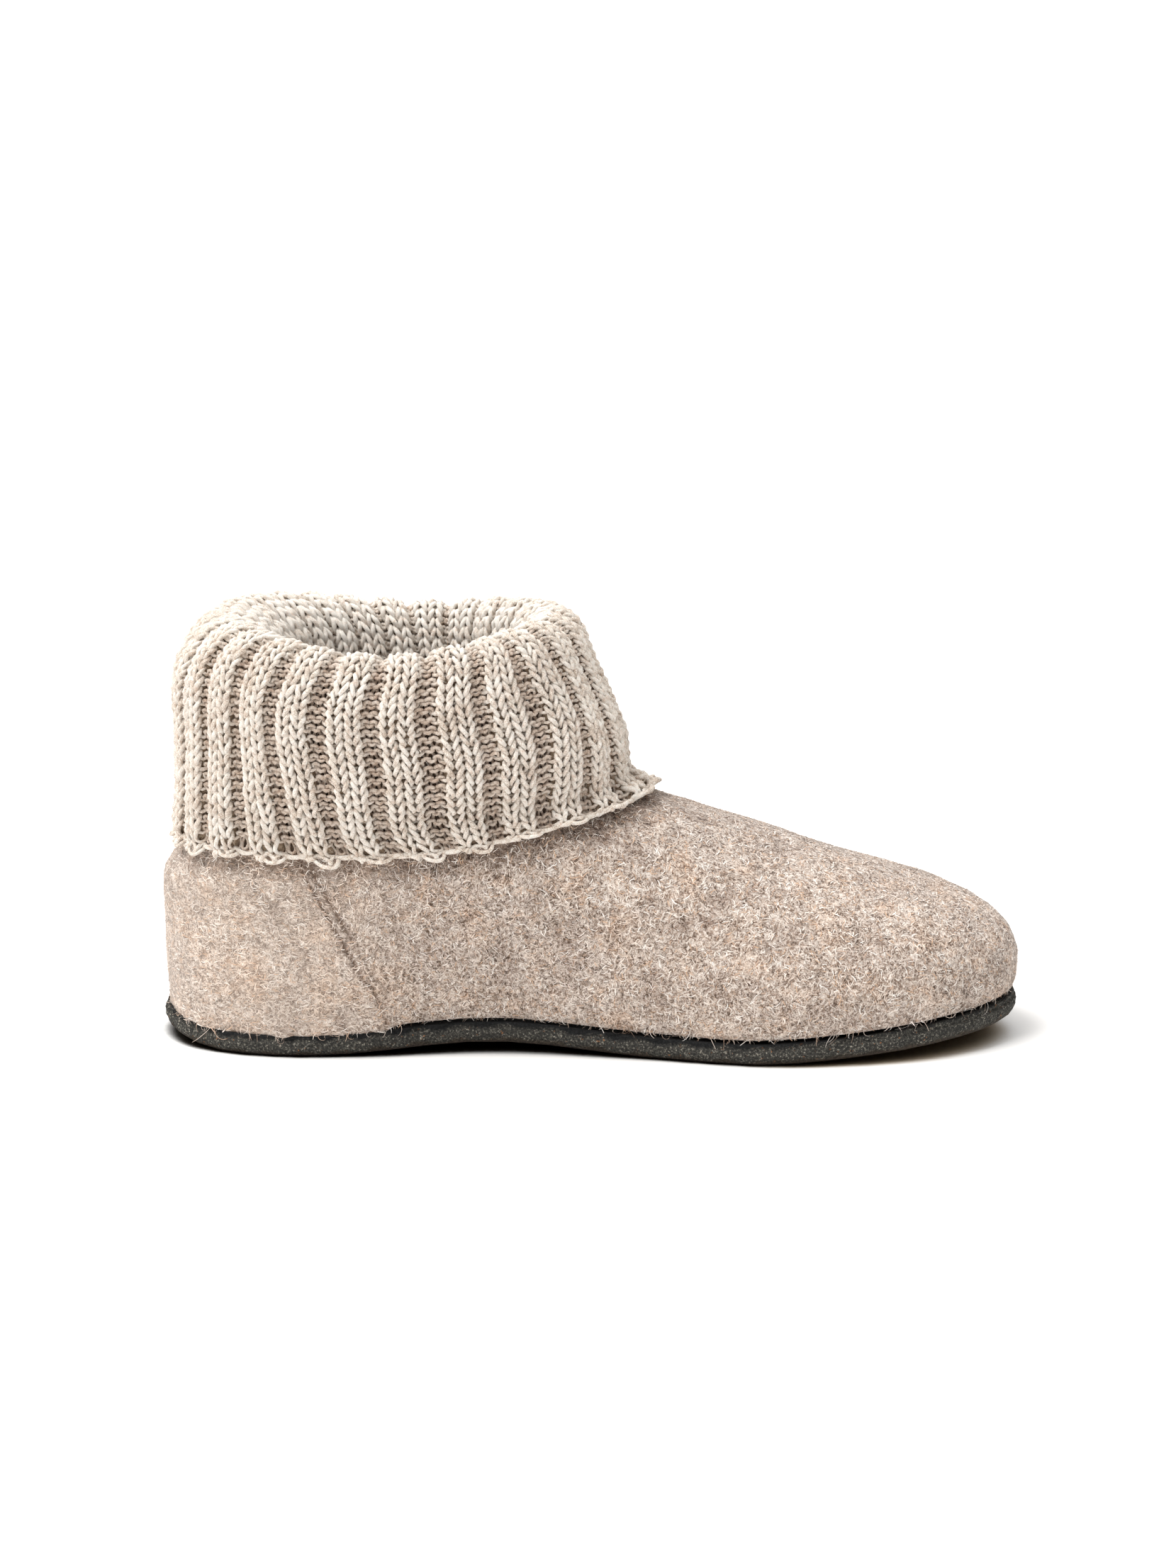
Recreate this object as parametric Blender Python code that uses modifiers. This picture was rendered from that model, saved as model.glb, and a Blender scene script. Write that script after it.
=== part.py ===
"""Slipper boot for the left foot: felt upper, folded rib-knit cuff, felt insole and outsole.

Metres, +Z up, toe towards +X. The inner side of the foot faces -Y, and the sole stands on z = 0.
The pieces are made with x = 0 at the back of the heel, and an empty then brings the middle of their
box over the origin.
Every ring round the shoe starts at the back of the heel, runs along the inner side to its front
and comes back along the outer side. A place on a ring is its turn, from 0 to 1, and 0.5 is the front.
"""

import math

import bmesh
import bpy
from mathutils import Vector

COLLECTION = "slipper_boot"

# Driving dimensions of the sole
SOLE_LENGTH = 0.266
BALL_HALF = 0.048
SOLE_THICKNESS = 0.0065
TOE_SPRING = 0.0076
ARCH_INNER = 0.0038
ARCH_OUTER = 0.0012
HEEL_LIFT = 0.0035
SOLE_EDGE_ROUND = 0.0019
SOLE_STEP = 0.0009

# Driving dimensions of the felt upper
FELT_WALL = 0.0030
TOPLINE_FRONT = 0.135
INSTEP_HEIGHT = 0.0772
COUNTER_HEIGHT = 0.0657
SEAM_WIDTH = 0.0030
SEAM_HEIGHT = 0.0009

# Driving dimensions of the insole
INSOLE_THICKNESS = 0.0035

# Driving dimensions of the knitted cuff
CUFF_TOP = 0.134
KNIT_WALL = 0.0020
RIB_HEIGHT = 0.0014
RIB_COUNT = 26
CUFF_SLACK = 0.0040
NECK_DRAW = 0.0250
CUFF_SAG = 0.0080
RIM_LEAN = 1.25
HEM_DIP = 0.8

# Clearances between neighbours
SEAT_GAP = 0.0005
KNIT_GAP = 0.0012
INSOLE_GAP = 0.0006

# Steps of the meshes
SIDE_STEPS = 60
SOLE_LINES = 30
HEEL_COLUMNS = 7
VAMP_COLUMNS = 19

# The outline of the sole: share of its length, share of BALL_HALF (inner side negative)
OUTLINE = (
    (0.000, 0.00),
    (0.030, -0.44),
    (0.115, -0.69),
    (0.235, -0.71),
    (0.395, -0.61),
    (0.560, -0.76),
    (0.700, -0.94),
    (0.840, -0.87),
    (0.928, -0.67),
    (0.981, -0.40),
    (1.000, -0.08),
    (0.985, 0.24),
    (0.943, 0.53),
    (0.865, 0.80),
    (0.740, 0.99),
    (0.600, 1.03),
    (0.420, 0.88),
    (0.250, 0.74),
    (0.115, 0.69),
    (0.030, 0.44),
)
TOE_TIP = 10

# Where the sole leaves the floor, as shares of its length
HEEL_FLAT_START = 0.085
ARCH_START = 0.16
ARCH_END = 0.60
SPRING_START = 0.69

# The side of the sole from the floor up: share of the thickness, share of SOLE_EDGE_ROUND inwards,
# share of SOLE_STEP inwards
SOLE_SIDE = (
    (0.00, 1.00, 0.0),
    (0.14, 0.35, 0.0),
    (0.36, 0.00, 0.0),
    (0.70, 0.00, 0.1),
    (0.76, 0.00, 1.0),
    (1.00, 0.00, 1.0),
)

# The rings of the felt upper from the sole to the topline. front runs from the topline (0) to the toe (1),
# front_rise is a share of INSTEP_HEIGHT, back is metres behind x = 0 as a share of FELT_WALL,
# back_rise is a share of COUNTER_HEIGHT, the halves are shares of BALL_HALF, outset is a share of FELT_WALL,
# egg is how far the ring has turned from the foot's outline to a plain oval, widest is where that oval
# is widest, follow is how much of the sole's lift it keeps, and seam is the side seam's share of the length.
UPPER_RINGS = (
    # front, front_rise, back, back_rise, inner, outer, outset, egg, widest, follow, seam
    (0.988, 0.000, -0.40, 0.000, 0.94, 1.03, -0.50, 0.00, 0.62, 1.00, 0.269),
    (1.000, 0.051, -0.05, 0.076, 0.94, 1.03, -0.07, 0.00, 0.62, 0.90, 0.265),
    (1.005, 0.130, 0.10, 0.183, 0.94, 1.03, 0.33, 0.00, 0.62, 0.75, 0.255),
    (1.002, 0.228, 0.00, 0.304, 0.94, 1.01, 0.40, 0.10, 0.60, 0.55, 0.235),
    (0.983, 0.321, 0.00, 0.410, 0.90, 0.98, 0.20, 0.30, 0.57, 0.35, 0.222),
    (0.940, 0.408, 0.00, 0.487, 0.86, 0.95, 0.00, 0.50, 0.54, 0.20, 0.210),
    (0.868, 0.480, 0.03, 0.548, 0.83, 0.92, 0.00, 0.70, 0.51, 0.08, 0.202),
    (0.730, 0.568, 0.03, 0.609, 0.81, 0.89, 0.00, 0.88, 0.48, 0.00, 0.193),
    (0.556, 0.660, 0.00, 0.654, 0.81, 0.87, 0.00, 1.00, 0.47, 0.00, 0.186),
    (0.386, 0.752, -0.15, 0.700, 0.81, 0.85, 0.00, 1.00, 0.47, 0.00, 0.179),
    (0.254, 0.826, -0.70, 0.745, 0.81, 0.84, 0.00, 1.00, 0.48, 0.00, 0.172),
    (0.142, 0.872, -2.20, 0.805, 0.80, 0.82, 0.00, 1.00, 0.49, 0.00, 0.165),
    (0.069, 0.928, -2.65, 0.890, 0.79, 0.80, 0.00, 1.00, 0.50, 0.00, 0.155),
    (0.000, 1.000, -3.00, 1.000, 0.78, 0.78, 0.00, 1.00, 0.50, 0.00, 0.144),
)
HEM_RING = 11
WAIST_RING = 12
TOPLINE_RING = 13
BACK_SQUARENESS = 2.6
FRONT_SQUARENESS = 2.1

# The free rings of the cuff from its inner leg over the crest to its outer leg. back, front and side say how
# far the ring stands from the topline: a share of the cuff's stand outwards, or of NECK_DRAW inwards where
# negative. The rises are shares of the way from the topline to CUFF_TOP, and the sags shares of CUFF_SAG.
CUFF_RINGS = (
    # back, front, side, back_rise, front_rise, sag_inner, sag_outer
    (-0.50, -0.48, -0.28, 0.26, 0.24, 0.10, 0.10),
    (-0.80, -0.76, -0.31, 0.48, 0.45, 0.25, 0.20),
    (-1.02, -0.94, -0.33, 0.69, 0.65, 0.50, 0.35),
    (-0.84, -0.86, -0.23, 0.90, 0.88, 1.00, 0.40),
    (-0.40, -0.62, -0.02, 1.00, 1.00, 1.05, 0.40),
    (0.06, -0.30, 0.55, 0.92, 0.91, 1.00, 0.45),
    (0.48, 0.00, 0.94, 0.69, 0.65, 0.75, 0.40),
    (0.48, 0.96, 1.00, 0.42, 0.27, 0.50, 0.35),
    (0.48, 1.15, 0.97, 0.13, 0.10, 0.25, 0.25),
)

# Where the columns of one rib stand, as shares of its pitch, and which of them are raised
RIB_COLUMNS = ((0.03, True), (0.57, True), (0.67, False), (0.93, False))
HEEL_CROWDING = 0.040
SIDE_STRETCH = 0.015


def blend(a, b, share):
    return a + (b - a) * share


def curve_through(p0, p1, p2, p3, t):
    """A Catmull-Rom curve from p1 to p2, for numbers or vectors."""
    slope = (p2 - p0) * 0.5
    next_slope = (p3 - p1) * 0.5
    rise = p2 - p1
    return p1 + slope * t + (rise * 3 - slope * 2 - next_slope) * t**2 + (slope + next_slope - rise * 2) * t**3


def outline_at(at):
    """The sole's outline at a place counted in rows of OUTLINE, as x and y."""
    row = math.floor(at)
    near = [Vector(OUTLINE[(row + k) % len(OUTLINE)]) for k in (-1, 0, 1, 2)]
    share = curve_through(*near, at - row)
    return Vector((share.x * SOLE_LENGTH, share.y * BALL_HALF))


def outline_moved(at, outset):
    """The same place, moved square to the outline and outwards."""
    step = 0.02
    along = (outline_at(at + step) - outline_at(at - step)).normalized()
    return outline_at(at) + Vector((along.y, -along.x)) * outset


def foot_side(side, outset):
    """The outline from heel to toe tip along the inner (-1) or the outer (1) side."""
    end = TOE_TIP if side < 0 else TOE_TIP - len(OUTLINE)
    return [outline_moved(end * k / SIDE_STEPS, outset) for k in range(SIDE_STEPS + 1)]


def oval_side(side, back, front, half, widest):
    """Half an oval from back to front, squarer behind its widest place than before it."""
    middle = blend(back, front, widest)
    points = []
    for k in range(SIDE_STEPS + 1):
        angle = math.pi * k / SIDE_STEPS
        behind = math.cos(angle) > 0
        power = 2 / (BACK_SQUARENESS if behind else FRONT_SQUARENESS)
        reach = middle - back if behind else middle - front
        x = middle - reach * abs(math.cos(angle)) ** power
        points.append(Vector((x, side * half * math.sin(angle) ** power)))
    points[-1].y = 0
    return points


def place_on(points, share):
    """The point of a polyline at a share of its length."""
    lengths = [0.0]
    for a, b in zip(points, points[1:]):
        lengths.append(lengths[-1] + (b - a).length)
    want = share * lengths[-1]
    k = next((n for n in range(1, len(points)) if lengths[n] >= want), len(points) - 1)
    return points[k - 1].lerp(points[k], (want - lengths[k - 1]) / (lengths[k] - lengths[k - 1]))


def evenly(points):
    """The same polyline with its points the same way apart."""
    return [place_on(points, k / SIDE_STEPS) for k in range(SIDE_STEPS + 1)]


def on_side(points, share):
    """A place on a side whose points are evenly spaced."""
    at = min(max(share, 0), 1) * SIDE_STEPS
    k = min(int(at), SIDE_STEPS - 1)
    return points[k].lerp(points[k + 1], at - k)


def lift(x, y):
    """How far the underside of the sole is off the floor."""
    along = x / SOLE_LENGTH
    if along > SPRING_START:
        return TOE_SPRING * ((along - SPRING_START) / (1 - SPRING_START)) ** 1.2
    if along < HEEL_FLAT_START:
        return HEEL_LIFT * (1 - max(along, 0) / HEEL_FLAT_START) ** 1.5
    if ARCH_START < along < ARCH_END:
        across = min(max((y / BALL_HALF + 1) / 2, 0), 1)
        rise = math.sin(math.pi * (along - ARCH_START) / (ARCH_END - ARCH_START)) ** 2
        return blend(ARCH_INNER, ARCH_OUTER, across) * rise
    return 0.0


def upper_ring(row):
    """One ring of the felt upper, as its inner and its outer side."""
    front, front_rise, back, back_rise, inner, outer, outset, egg, widest, follow, _ = row
    front_x = blend(TOPLINE_FRONT, SOLE_LENGTH, front)
    back_x = -back * FELT_WALL
    sides = []
    for side, half in ((-1, inner), (1, outer)):
        foot = evenly(foot_side(side, outset * FELT_WALL))
        oval = evenly(oval_side(side, back_x, front_x, half * BALL_HALF, widest))
        plan = [a.lerp(b, egg) for a, b in zip(foot, oval)]
        start, end = plan[0].x, plan[-1].x
        points = []
        for p in plan:
            along = (p.x - start) / (end - start)
            x = blend(back_x, front_x, along)
            rise = blend(back_rise * COUNTER_HEIGHT, front_rise * INSTEP_HEIGHT, along)
            points.append(Vector((x, p.y, SOLE_THICKNESS + SEAT_GAP + rise + lift(x, p.y) * follow)))
        sides.append(evenly(points))
    return sides


RINGS = [upper_ring(row) for row in UPPER_RINGS]


def ring_place(ring, turn):
    """The point of a ring at a turn."""
    turn %= 1
    return on_side(ring[0], turn * 2) if turn <= 0.5 else on_side(ring[1], (1 - turn) * 2)


def felt_normal(turn, row):
    """The direction out of the felt at a turn of one of its rings."""
    step = 0.004
    around = ring_place(RINGS[row], turn + step) - ring_place(RINGS[row], turn - step)
    below = ring_place(RINGS[max(row - 1, 0)], turn)
    above = ring_place(RINGS[min(row + 1, TOPLINE_RING)], turn)
    return around.cross(above - below).normalized()


def felt_moved(turn, row, distance):
    """A place on the felt, moved out of it by a distance."""
    return ring_place(RINGS[row], turn) + felt_normal(turn, row) * distance


def seam_turns(row):
    """The turns of one ring's columns: heel to seam, the seam's ridge, and seam to toe, on both sides."""
    seam_x = UPPER_RINGS[row][-1] * SOLE_LENGTH
    halves = []
    for points in RINGS[row]:
        length = sum((b - a).length for a, b in zip(points, points[1:]))
        k = next(n for n in range(1, len(points)) if points[n].x >= seam_x and n > 2)
        part = (seam_x - points[k - 1].x) / (points[k].x - points[k - 1].x)
        seam = (k - 1 + part) / SIDE_STEPS
        edge = SEAM_WIDTH / 2 / length
        heel = [(seam - edge) * n / HEEL_COLUMNS for n in range(HEEL_COLUMNS + 1)]
        toe = [1 - (1 - seam - edge) * (1 - n / VAMP_COLUMNS) ** 1.2 for n in range(VAMP_COLUMNS + 1)]
        halves.append(heel + [seam] + toe)
    inner, outer = halves
    return [share / 2 for share in inner] + [1 - share / 2 for share in reversed(outer[1:-1])]


def mesh_object(name, rings, closed_rings, material):
    """A skin of quads through rings of points that all have the same number of points."""
    bm = bmesh.new()
    rows = [[bm.verts.new(p) for p in ring] for ring in rings]
    count = len(rows[0])
    steps = count if closed_rings else count - 1
    for lower, upper in zip(rows, rows[1:]):
        for k in range(steps):
            n = (k + 1) % count
            bm.faces.new((lower[k], lower[n], upper[n], upper[k]))
    mesh = bpy.data.meshes.new(name)
    bm.to_mesh(mesh)
    bm.free()
    mesh.materials.append(material)
    thing = bpy.data.objects.new(name, mesh)
    bpy.context.scene.collection.children[COLLECTION].objects.link(thing)
    return thing


def push_along_normals(thing, distances):
    """Moves each point of a mesh along its normal by its own distance."""
    mesh = thing.data
    moved = [v.co + mesh.vertex_normals[v.index].vector * distances[v.index] for v in mesh.vertices]
    for v, place in zip(mesh.vertices, moved):
        v.co = place
    mesh.update()


def give_wall(thing, thickness):
    """A wall on the inner side of a skin."""
    solid = thing.modifiers.new("wall", "SOLIDIFY")
    solid.thickness = thickness
    solid.offset = -1
    solid.use_even_offset = True


def finish_smooth(thing, angle=40):
    thing.data.shade_smooth()
    thing.data.set_sharp_from_angle(angle=math.radians(angle))


def material(name, colour, roughness):
    made = bpy.data.materials.new(name)
    made.use_nodes = True
    shader = made.node_tree.nodes["Principled BSDF"]
    shader.inputs["Base Color"].default_value = (*colour, 1)
    shader.inputs["Roughness"].default_value = roughness
    shader.inputs["Metallic"].default_value = 0
    made.diffuse_color = (*colour, 1)
    return made


def sole_edge(inset):
    """The sole's outline, moved inwards, as evenly matched places on its two sides."""
    shares = [0.5 - 0.5 * math.cos(math.pi * k / SOLE_LINES) for k in range(SOLE_LINES + 1)]
    shares = [blend(s, k / SOLE_LINES, 0.45) for k, s in enumerate(shares)]
    return [[on_side(evenly(foot_side(side, -inset)), s) for s in shares] for side in (-1, 1)]


def ring_from_sides(sides, height):
    """A closed ring of points from two matched sides, with its height above the sole's underside."""
    inner, outer = sides
    plan = inner + list(reversed(outer[1:-1]))
    return [Vector((p.x, p.y, lift(p.x, p.y) + height)) for p in plan]


def close_with_lines(bm, ring, sides, height, facing_up):
    """Closes a ring with faces between lines across the sole, so that it keeps the sole's curve."""
    inner, outer = sides
    across = (0.0, 0.12, 0.37, 0.63, 0.88, 1.0)
    last = len(inner) - 1
    lines = []
    for k in range(last + 1):
        if k in (0, last):
            lines.append([ring[k]] * len(across))
            continue
        line = []
        for share in across:
            if share == 0:
                line.append(ring[k])
            elif share == 1:
                line.append(ring[len(ring) - k])
            else:
                p = inner[k].lerp(outer[k], share)
                line.append(bm.verts.new((p.x, p.y, lift(p.x, p.y) + height)))
        lines.append(line)
    for line, after in zip(lines, lines[1:]):
        for n in range(len(across) - 1):
            corners = [line[n], after[n], after[n + 1], line[n + 1]]
            face = [v for i, v in enumerate(corners) if v is not corners[i - 1]]
            bm.faces.new(face if facing_up else reversed(face))


def slab(name, levels, surface):
    """A solid lying along the sole, through levels of inset and height."""
    bm = bmesh.new()
    rings = []
    for inset, height in levels:
        rings.append([bm.verts.new(p) for p in ring_from_sides(sole_edge(inset), height)])
    for lower, upper in zip(rings, rings[1:]):
        for k in range(len(lower)):
            n = (k + 1) % len(lower)
            bm.faces.new((lower[k], lower[n], upper[n], upper[k]))
    close_with_lines(bm, rings[0], sole_edge(levels[0][0]), levels[0][1], False)
    close_with_lines(bm, rings[-1], sole_edge(levels[-1][0]), levels[-1][1], True)
    mesh = bpy.data.meshes.new(name)
    bm.to_mesh(mesh)
    bm.free()
    mesh.materials.append(surface)
    thing = bpy.data.objects.new(name, mesh)
    bpy.context.scene.collection.children[COLLECTION].objects.link(thing)
    finish_smooth(thing)
    return thing


def make_outsole():
    levels = [
        (in_round * SOLE_EDGE_ROUND + in_step * SOLE_STEP, height * SOLE_THICKNESS)
        for height, in_round, in_step in SOLE_SIDE
    ]
    return slab("outsole", levels, material("dark_grey_sole", (0.055, 0.055, 0.05), 0.85))


def make_insole():
    outset = UPPER_RINGS[0][6] * FELT_WALL
    inset = FELT_WALL - outset + INSOLE_GAP
    low = SOLE_THICKNESS + SEAT_GAP
    levels = [(inset, low), (inset, low + INSOLE_THICKNESS)]
    return slab("insole", levels, material("insole_felt", (0.42, 0.36, 0.30), 0.95))


def make_felt_upper():
    rings = []
    for row in range(len(UPPER_RINGS)):
        rings.append([ring_place(RINGS[row], turn) for turn in seam_turns(row)])
    thing = mesh_object("felt_upper", rings, True, material("beige_felt", (0.53, 0.44, 0.37), 0.95))
    columns = len(rings[0])
    inner_seam = HEEL_COLUMNS + 1
    ridges = {inner_seam, columns - inner_seam}
    bare = columns * HEM_RING
    raised = [SEAM_HEIGHT if k < bare and k % columns in ridges else 0.0 for k in range(columns * len(rings))]
    push_along_normals(thing, raised)
    give_wall(thing, FELT_WALL)
    finish_smooth(thing)
    return thing


def rib_turns():
    """The turns of the cuff's columns, closer together at the heel, and which of them are raised."""
    turns, raised = [], []
    for rib in range(RIB_COUNT):
        for share, up in RIB_COLUMNS:
            even = (rib + share) / RIB_COUNT
            side = 2 * even if even <= 0.5 else 2 * (1 - even)
            moved = side - HEEL_CROWDING * math.sin(math.pi * side) - SIDE_STRETCH * math.sin(2 * math.pi * side)
            turns.append(moved / 2 if even <= 0.5 else 1 - moved / 2)
            raised.append(up)
    return turns, raised


def cuff_ring(row, turn):
    """A place on one of the cuff's free rings, which follow the topline's shape."""
    back, front, side, back_rise, front_rise, sag_inner, sag_outer = row
    stand = KNIT_GAP + KNIT_WALL + RIB_HEIGHT + CUFF_SLACK
    out_back, out_front, out_side = (s * (stand if s > 0 else NECK_DRAW) for s in (back, front, side))
    base = ring_place(RINGS[TOPLINE_RING], turn)
    start, end = (ring_place(RINGS[TOPLINE_RING], t) for t in (0, 0.5))
    half = UPPER_RINGS[TOPLINE_RING][4] * BALL_HALF
    along = (base.x - start.x) / (end.x - start.x)
    x = blend(start.x - out_back, end.x + out_front, along)
    y = base.y * (half + out_side) / half
    sag = CUFF_SAG * (sag_inner if turn % 1 < 0.5 else sag_outer)
    low = blend(start.z, end.z, along)
    rise = blend(back_rise * (CUFF_TOP - start.z), front_rise * (CUFF_TOP - end.z), along)
    lean = RIM_LEAN if turn % 1 > 0.5 else 1
    return Vector((x, y, low + rise - sag * math.sin(math.pi * min(max(along, 0), 1) ** lean) ** 1.5))


def hem_place(turn, distance):
    """A place on the cuff's hem, which dips towards the felt's next ring down halfway along each side."""
    dip = HEM_DIP * math.sin(2 * math.pi * turn) ** 4
    return felt_moved(turn, HEM_RING, distance).lerp(felt_moved(turn, HEM_RING - 1, distance), dip)


def make_knit_cuff():
    thickness = KNIT_WALL + RIB_HEIGHT
    inside = -(FELT_WALL + KNIT_GAP + thickness)
    outside = KNIT_GAP + thickness
    turns, raised = rib_turns()
    rings = [[felt_moved(turn, row, inside) for turn in turns] for row in (WAIST_RING, TOPLINE_RING)]
    rings += [[cuff_ring(row, turn) for turn in turns] for row in CUFF_RINGS]
    rings.append([felt_moved(turn, WAIST_RING, outside) for turn in turns])
    rings.append([hem_place(turn, outside) for turn in turns])
    rings.reverse()
    thing = mesh_object("knit_cuff", rings, True, material("marled_knit", (0.60, 0.53, 0.45), 0.95))
    relief = [0.0 if raised[k % len(turns)] else -RIB_HEIGHT for k in range(len(turns) * len(rings))]
    push_along_normals(thing, relief)
    give_wall(thing, KNIT_WALL)
    finish_smooth(thing)
    return thing


def stand_over_origin(pieces):
    """Parents the pieces to an empty that brings the middle of their box over the origin."""
    bpy.context.view_layer.update()
    graph = bpy.context.evaluated_depsgraph_get()
    corners = [Vector(corner) for piece in pieces for corner in piece.evaluated_get(graph).bound_box]
    shoe = bpy.data.objects.new("shoe", None)
    bpy.context.scene.collection.children[COLLECTION].objects.link(shoe)
    for axis in (0, 1):
        places = [corner[axis] for corner in corners]
        shoe.location[axis] = -(min(places) + max(places)) / 2
    for piece in pieces:
        piece.parent = shoe


def main():
    for thing in list(bpy.data.objects):
        bpy.data.objects.remove(thing)
    bpy.context.scene.collection.children.link(bpy.data.collections.new(COLLECTION))
    stand_over_origin([make_outsole(), make_insole(), make_felt_upper(), make_knit_cuff()])


main()
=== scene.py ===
# %% [markdown]
# This lesson dresses one slipper boot: a boiled-wool felt upper on a thin dark sole, with a thick
# rib-knit cuff folded down round the ankle.
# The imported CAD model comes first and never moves. Every soft piece below either replaces one of its
# four solids or lies on it, so the real size of the shoe is settled before the looks begin.

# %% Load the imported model
import math

import bpy
import numpy as np
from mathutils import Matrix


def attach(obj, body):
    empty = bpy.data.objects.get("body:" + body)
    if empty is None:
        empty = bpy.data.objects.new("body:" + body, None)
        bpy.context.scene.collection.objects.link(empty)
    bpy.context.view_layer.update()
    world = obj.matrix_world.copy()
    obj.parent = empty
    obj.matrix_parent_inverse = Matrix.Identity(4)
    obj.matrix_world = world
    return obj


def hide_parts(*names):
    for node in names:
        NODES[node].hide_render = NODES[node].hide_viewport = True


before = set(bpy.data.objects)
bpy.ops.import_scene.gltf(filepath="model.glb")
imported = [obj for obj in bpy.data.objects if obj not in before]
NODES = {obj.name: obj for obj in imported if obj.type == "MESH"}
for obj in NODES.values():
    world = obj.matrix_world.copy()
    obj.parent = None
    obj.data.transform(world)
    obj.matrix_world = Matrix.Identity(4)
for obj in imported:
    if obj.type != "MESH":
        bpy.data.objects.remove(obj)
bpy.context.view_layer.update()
print("CAD nodes", sorted(NODES))

# %% [markdown]
# The photograph was taken with a long lens from a little above the floor, square to the inner side
# of the shoe. A long lens keeps the toe and the heel at nearly the same scale, so the camera stands
# 1.5 m away and the lens is chosen to fill the frame, not the other way round.

# %% Camera
CAMERA_TARGET = (-0.0009, -0.0022, 0.0782)
CAMERA_ELEVATION = math.radians(13.2)
CAMERA_DISTANCE = 1.5
CAMERA_LENS = 111.08

camera_place = (
    CAMERA_TARGET[0],
    CAMERA_TARGET[1] - CAMERA_DISTANCE * math.cos(CAMERA_ELEVATION),
    CAMERA_TARGET[2] + CAMERA_DISTANCE * math.sin(CAMERA_ELEVATION),
)
bpy.ops.object.camera_add(location=camera_place, rotation=(math.pi / 2 - CAMERA_ELEVATION, 0, 0))
camera = bpy.context.object
camera.name = "camera"
camera.data.lens = CAMERA_LENS
bpy.context.scene.camera = camera
print("camera at", [round(c, 3) for c in camera_place])

# %% [markdown]
# Materials are named by what they are on the shoe, and their colours are picked as the eye sees
# them. Blender calculates with linear light, so one small helper turns the one into the other.
# A second one puts a node into a tree with its settings and links, and the rest are named for what
# they do to a pattern, which keeps each material short enough to read.

# %% Colour and node helpers
def seen(red, green, blue):
    """A colour as the eye sees it, in 0 to 255, as linear light."""
    shares = [c / 255 for c in (red, green, blue)]
    return (*[c / 12.92 if c < 0.0405 else ((c + 0.055) / 1.055) ** 2.4 for c in shares], 1)


def put(tree, kind, inputs=(), **settings):
    """Adds a node. Each input is given as a value, or as the output socket that feeds it."""
    node = tree.nodes.new(kind)
    for name, value in settings.items():
        setattr(node, name, value)
    for name, value in dict(inputs).items():
        if isinstance(value, bpy.types.NodeSocket):
            tree.links.new(value, node.inputs[name])
        else:
            node.inputs[name].default_value = value
    return node


def ramp(tree, factor, stops):
    """A colour ramp through (place, colour) stops."""
    node = put(tree, "ShaderNodeValToRGB", {0: factor})
    elements = node.color_ramp.elements
    while len(elements) < len(stops):
        elements.new(0.5)
    for element, (place, colour) in zip(elements, stops):
        element.position = place
        element.color = colour
    return node.outputs[0]


def number(tree, operation, *values):
    """One step of arithmetic between numbers or sockets."""
    return put(tree, "ShaderNodeMath", dict(enumerate(values)), operation=operation).outputs[0]


def between(tree, value, low, high, top=1.0):
    """How far a value has come from low to high: 0 up to low, and top from high on."""
    return put(tree, "ShaderNodeMapRange", {0: value, 1: low, 2: high, 3: 0.0, 4: top}).outputs[0]


def noise(tree, place, scale, detail, roughness=0.5, distortion=0.0):
    """A noise pattern. Its scale is in patches per metre."""
    node = put(tree, "ShaderNodeTexNoise", {"Vector": place, "Scale": scale, "Detail": detail})
    node.inputs["Roughness"].default_value = roughness
    node.inputs["Distortion"].default_value = distortion
    return node.outputs["Fac"]


def carried(tree, name):
    """A number that the mesh carries at its points."""
    return put(tree, "ShaderNodeAttribute", attribute_name=name).outputs["Fac"]


def mixed(tree, factor, first, second, blend_type="MIX"):
    """Two colours, mixed by a factor."""
    node = put(tree, "ShaderNodeMix", {0: factor}, data_type="RGBA", blend_type=blend_type)
    for place, value in ((6, first), (7, second)):
        if isinstance(value, bpy.types.NodeSocket):
            tree.links.new(value, node.inputs[place])
        else:
            node.inputs[place].default_value = value
    return node.outputs[2]


# %% Material helpers
def shader_group(name, inputs, outputs):
    """An empty shader node group with named number inputs and outputs."""
    group = bpy.data.node_groups.new(name, "ShaderNodeTree")
    for label, value in inputs.items():
        socket = group.interface.new_socket(label, in_out="INPUT", socket_type="NodeSocketFloat")
        socket.default_value = value
    for label in outputs:
        group.interface.new_socket(label, in_out="OUTPUT", socket_type="NodeSocketFloat")
    return group, group.nodes.new("NodeGroupInput").outputs, group.nodes.new("NodeGroupOutput").inputs


def new_material(name, colour):
    """A node material, its tree and its Principled shader, with the plain colour for the viewport."""
    made = bpy.data.materials.new(name)
    made.use_nodes = True
    made.diffuse_color = colour
    return made, made.node_tree, made.node_tree.nodes["Principled BSDF"]


def surface(tree, shader, colour, roughness, gloss, sheen=0.0, sheen_roughness=0.5):
    """Feeds a colour into a shader. What is the same all over is set on the shader's own sockets."""
    tree.links.new(colour, shader.inputs["Base Color"])
    shader.inputs["Roughness"].default_value = roughness
    shader.inputs["Specular IOR Level"].default_value = gloss
    shader.inputs["Sheen Weight"].default_value = sheen
    shader.inputs["Sheen Roughness"].default_value = sheen_roughness


def relief(tree, shader, height, strength, distance):
    """Makes a surface look raised by a pattern."""
    bump = put(tree, "ShaderNodeBump", {"Strength": strength, "Distance": distance, "Height": height})
    tree.links.new(bump.outputs[0], shader.inputs["Normal"])
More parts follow.
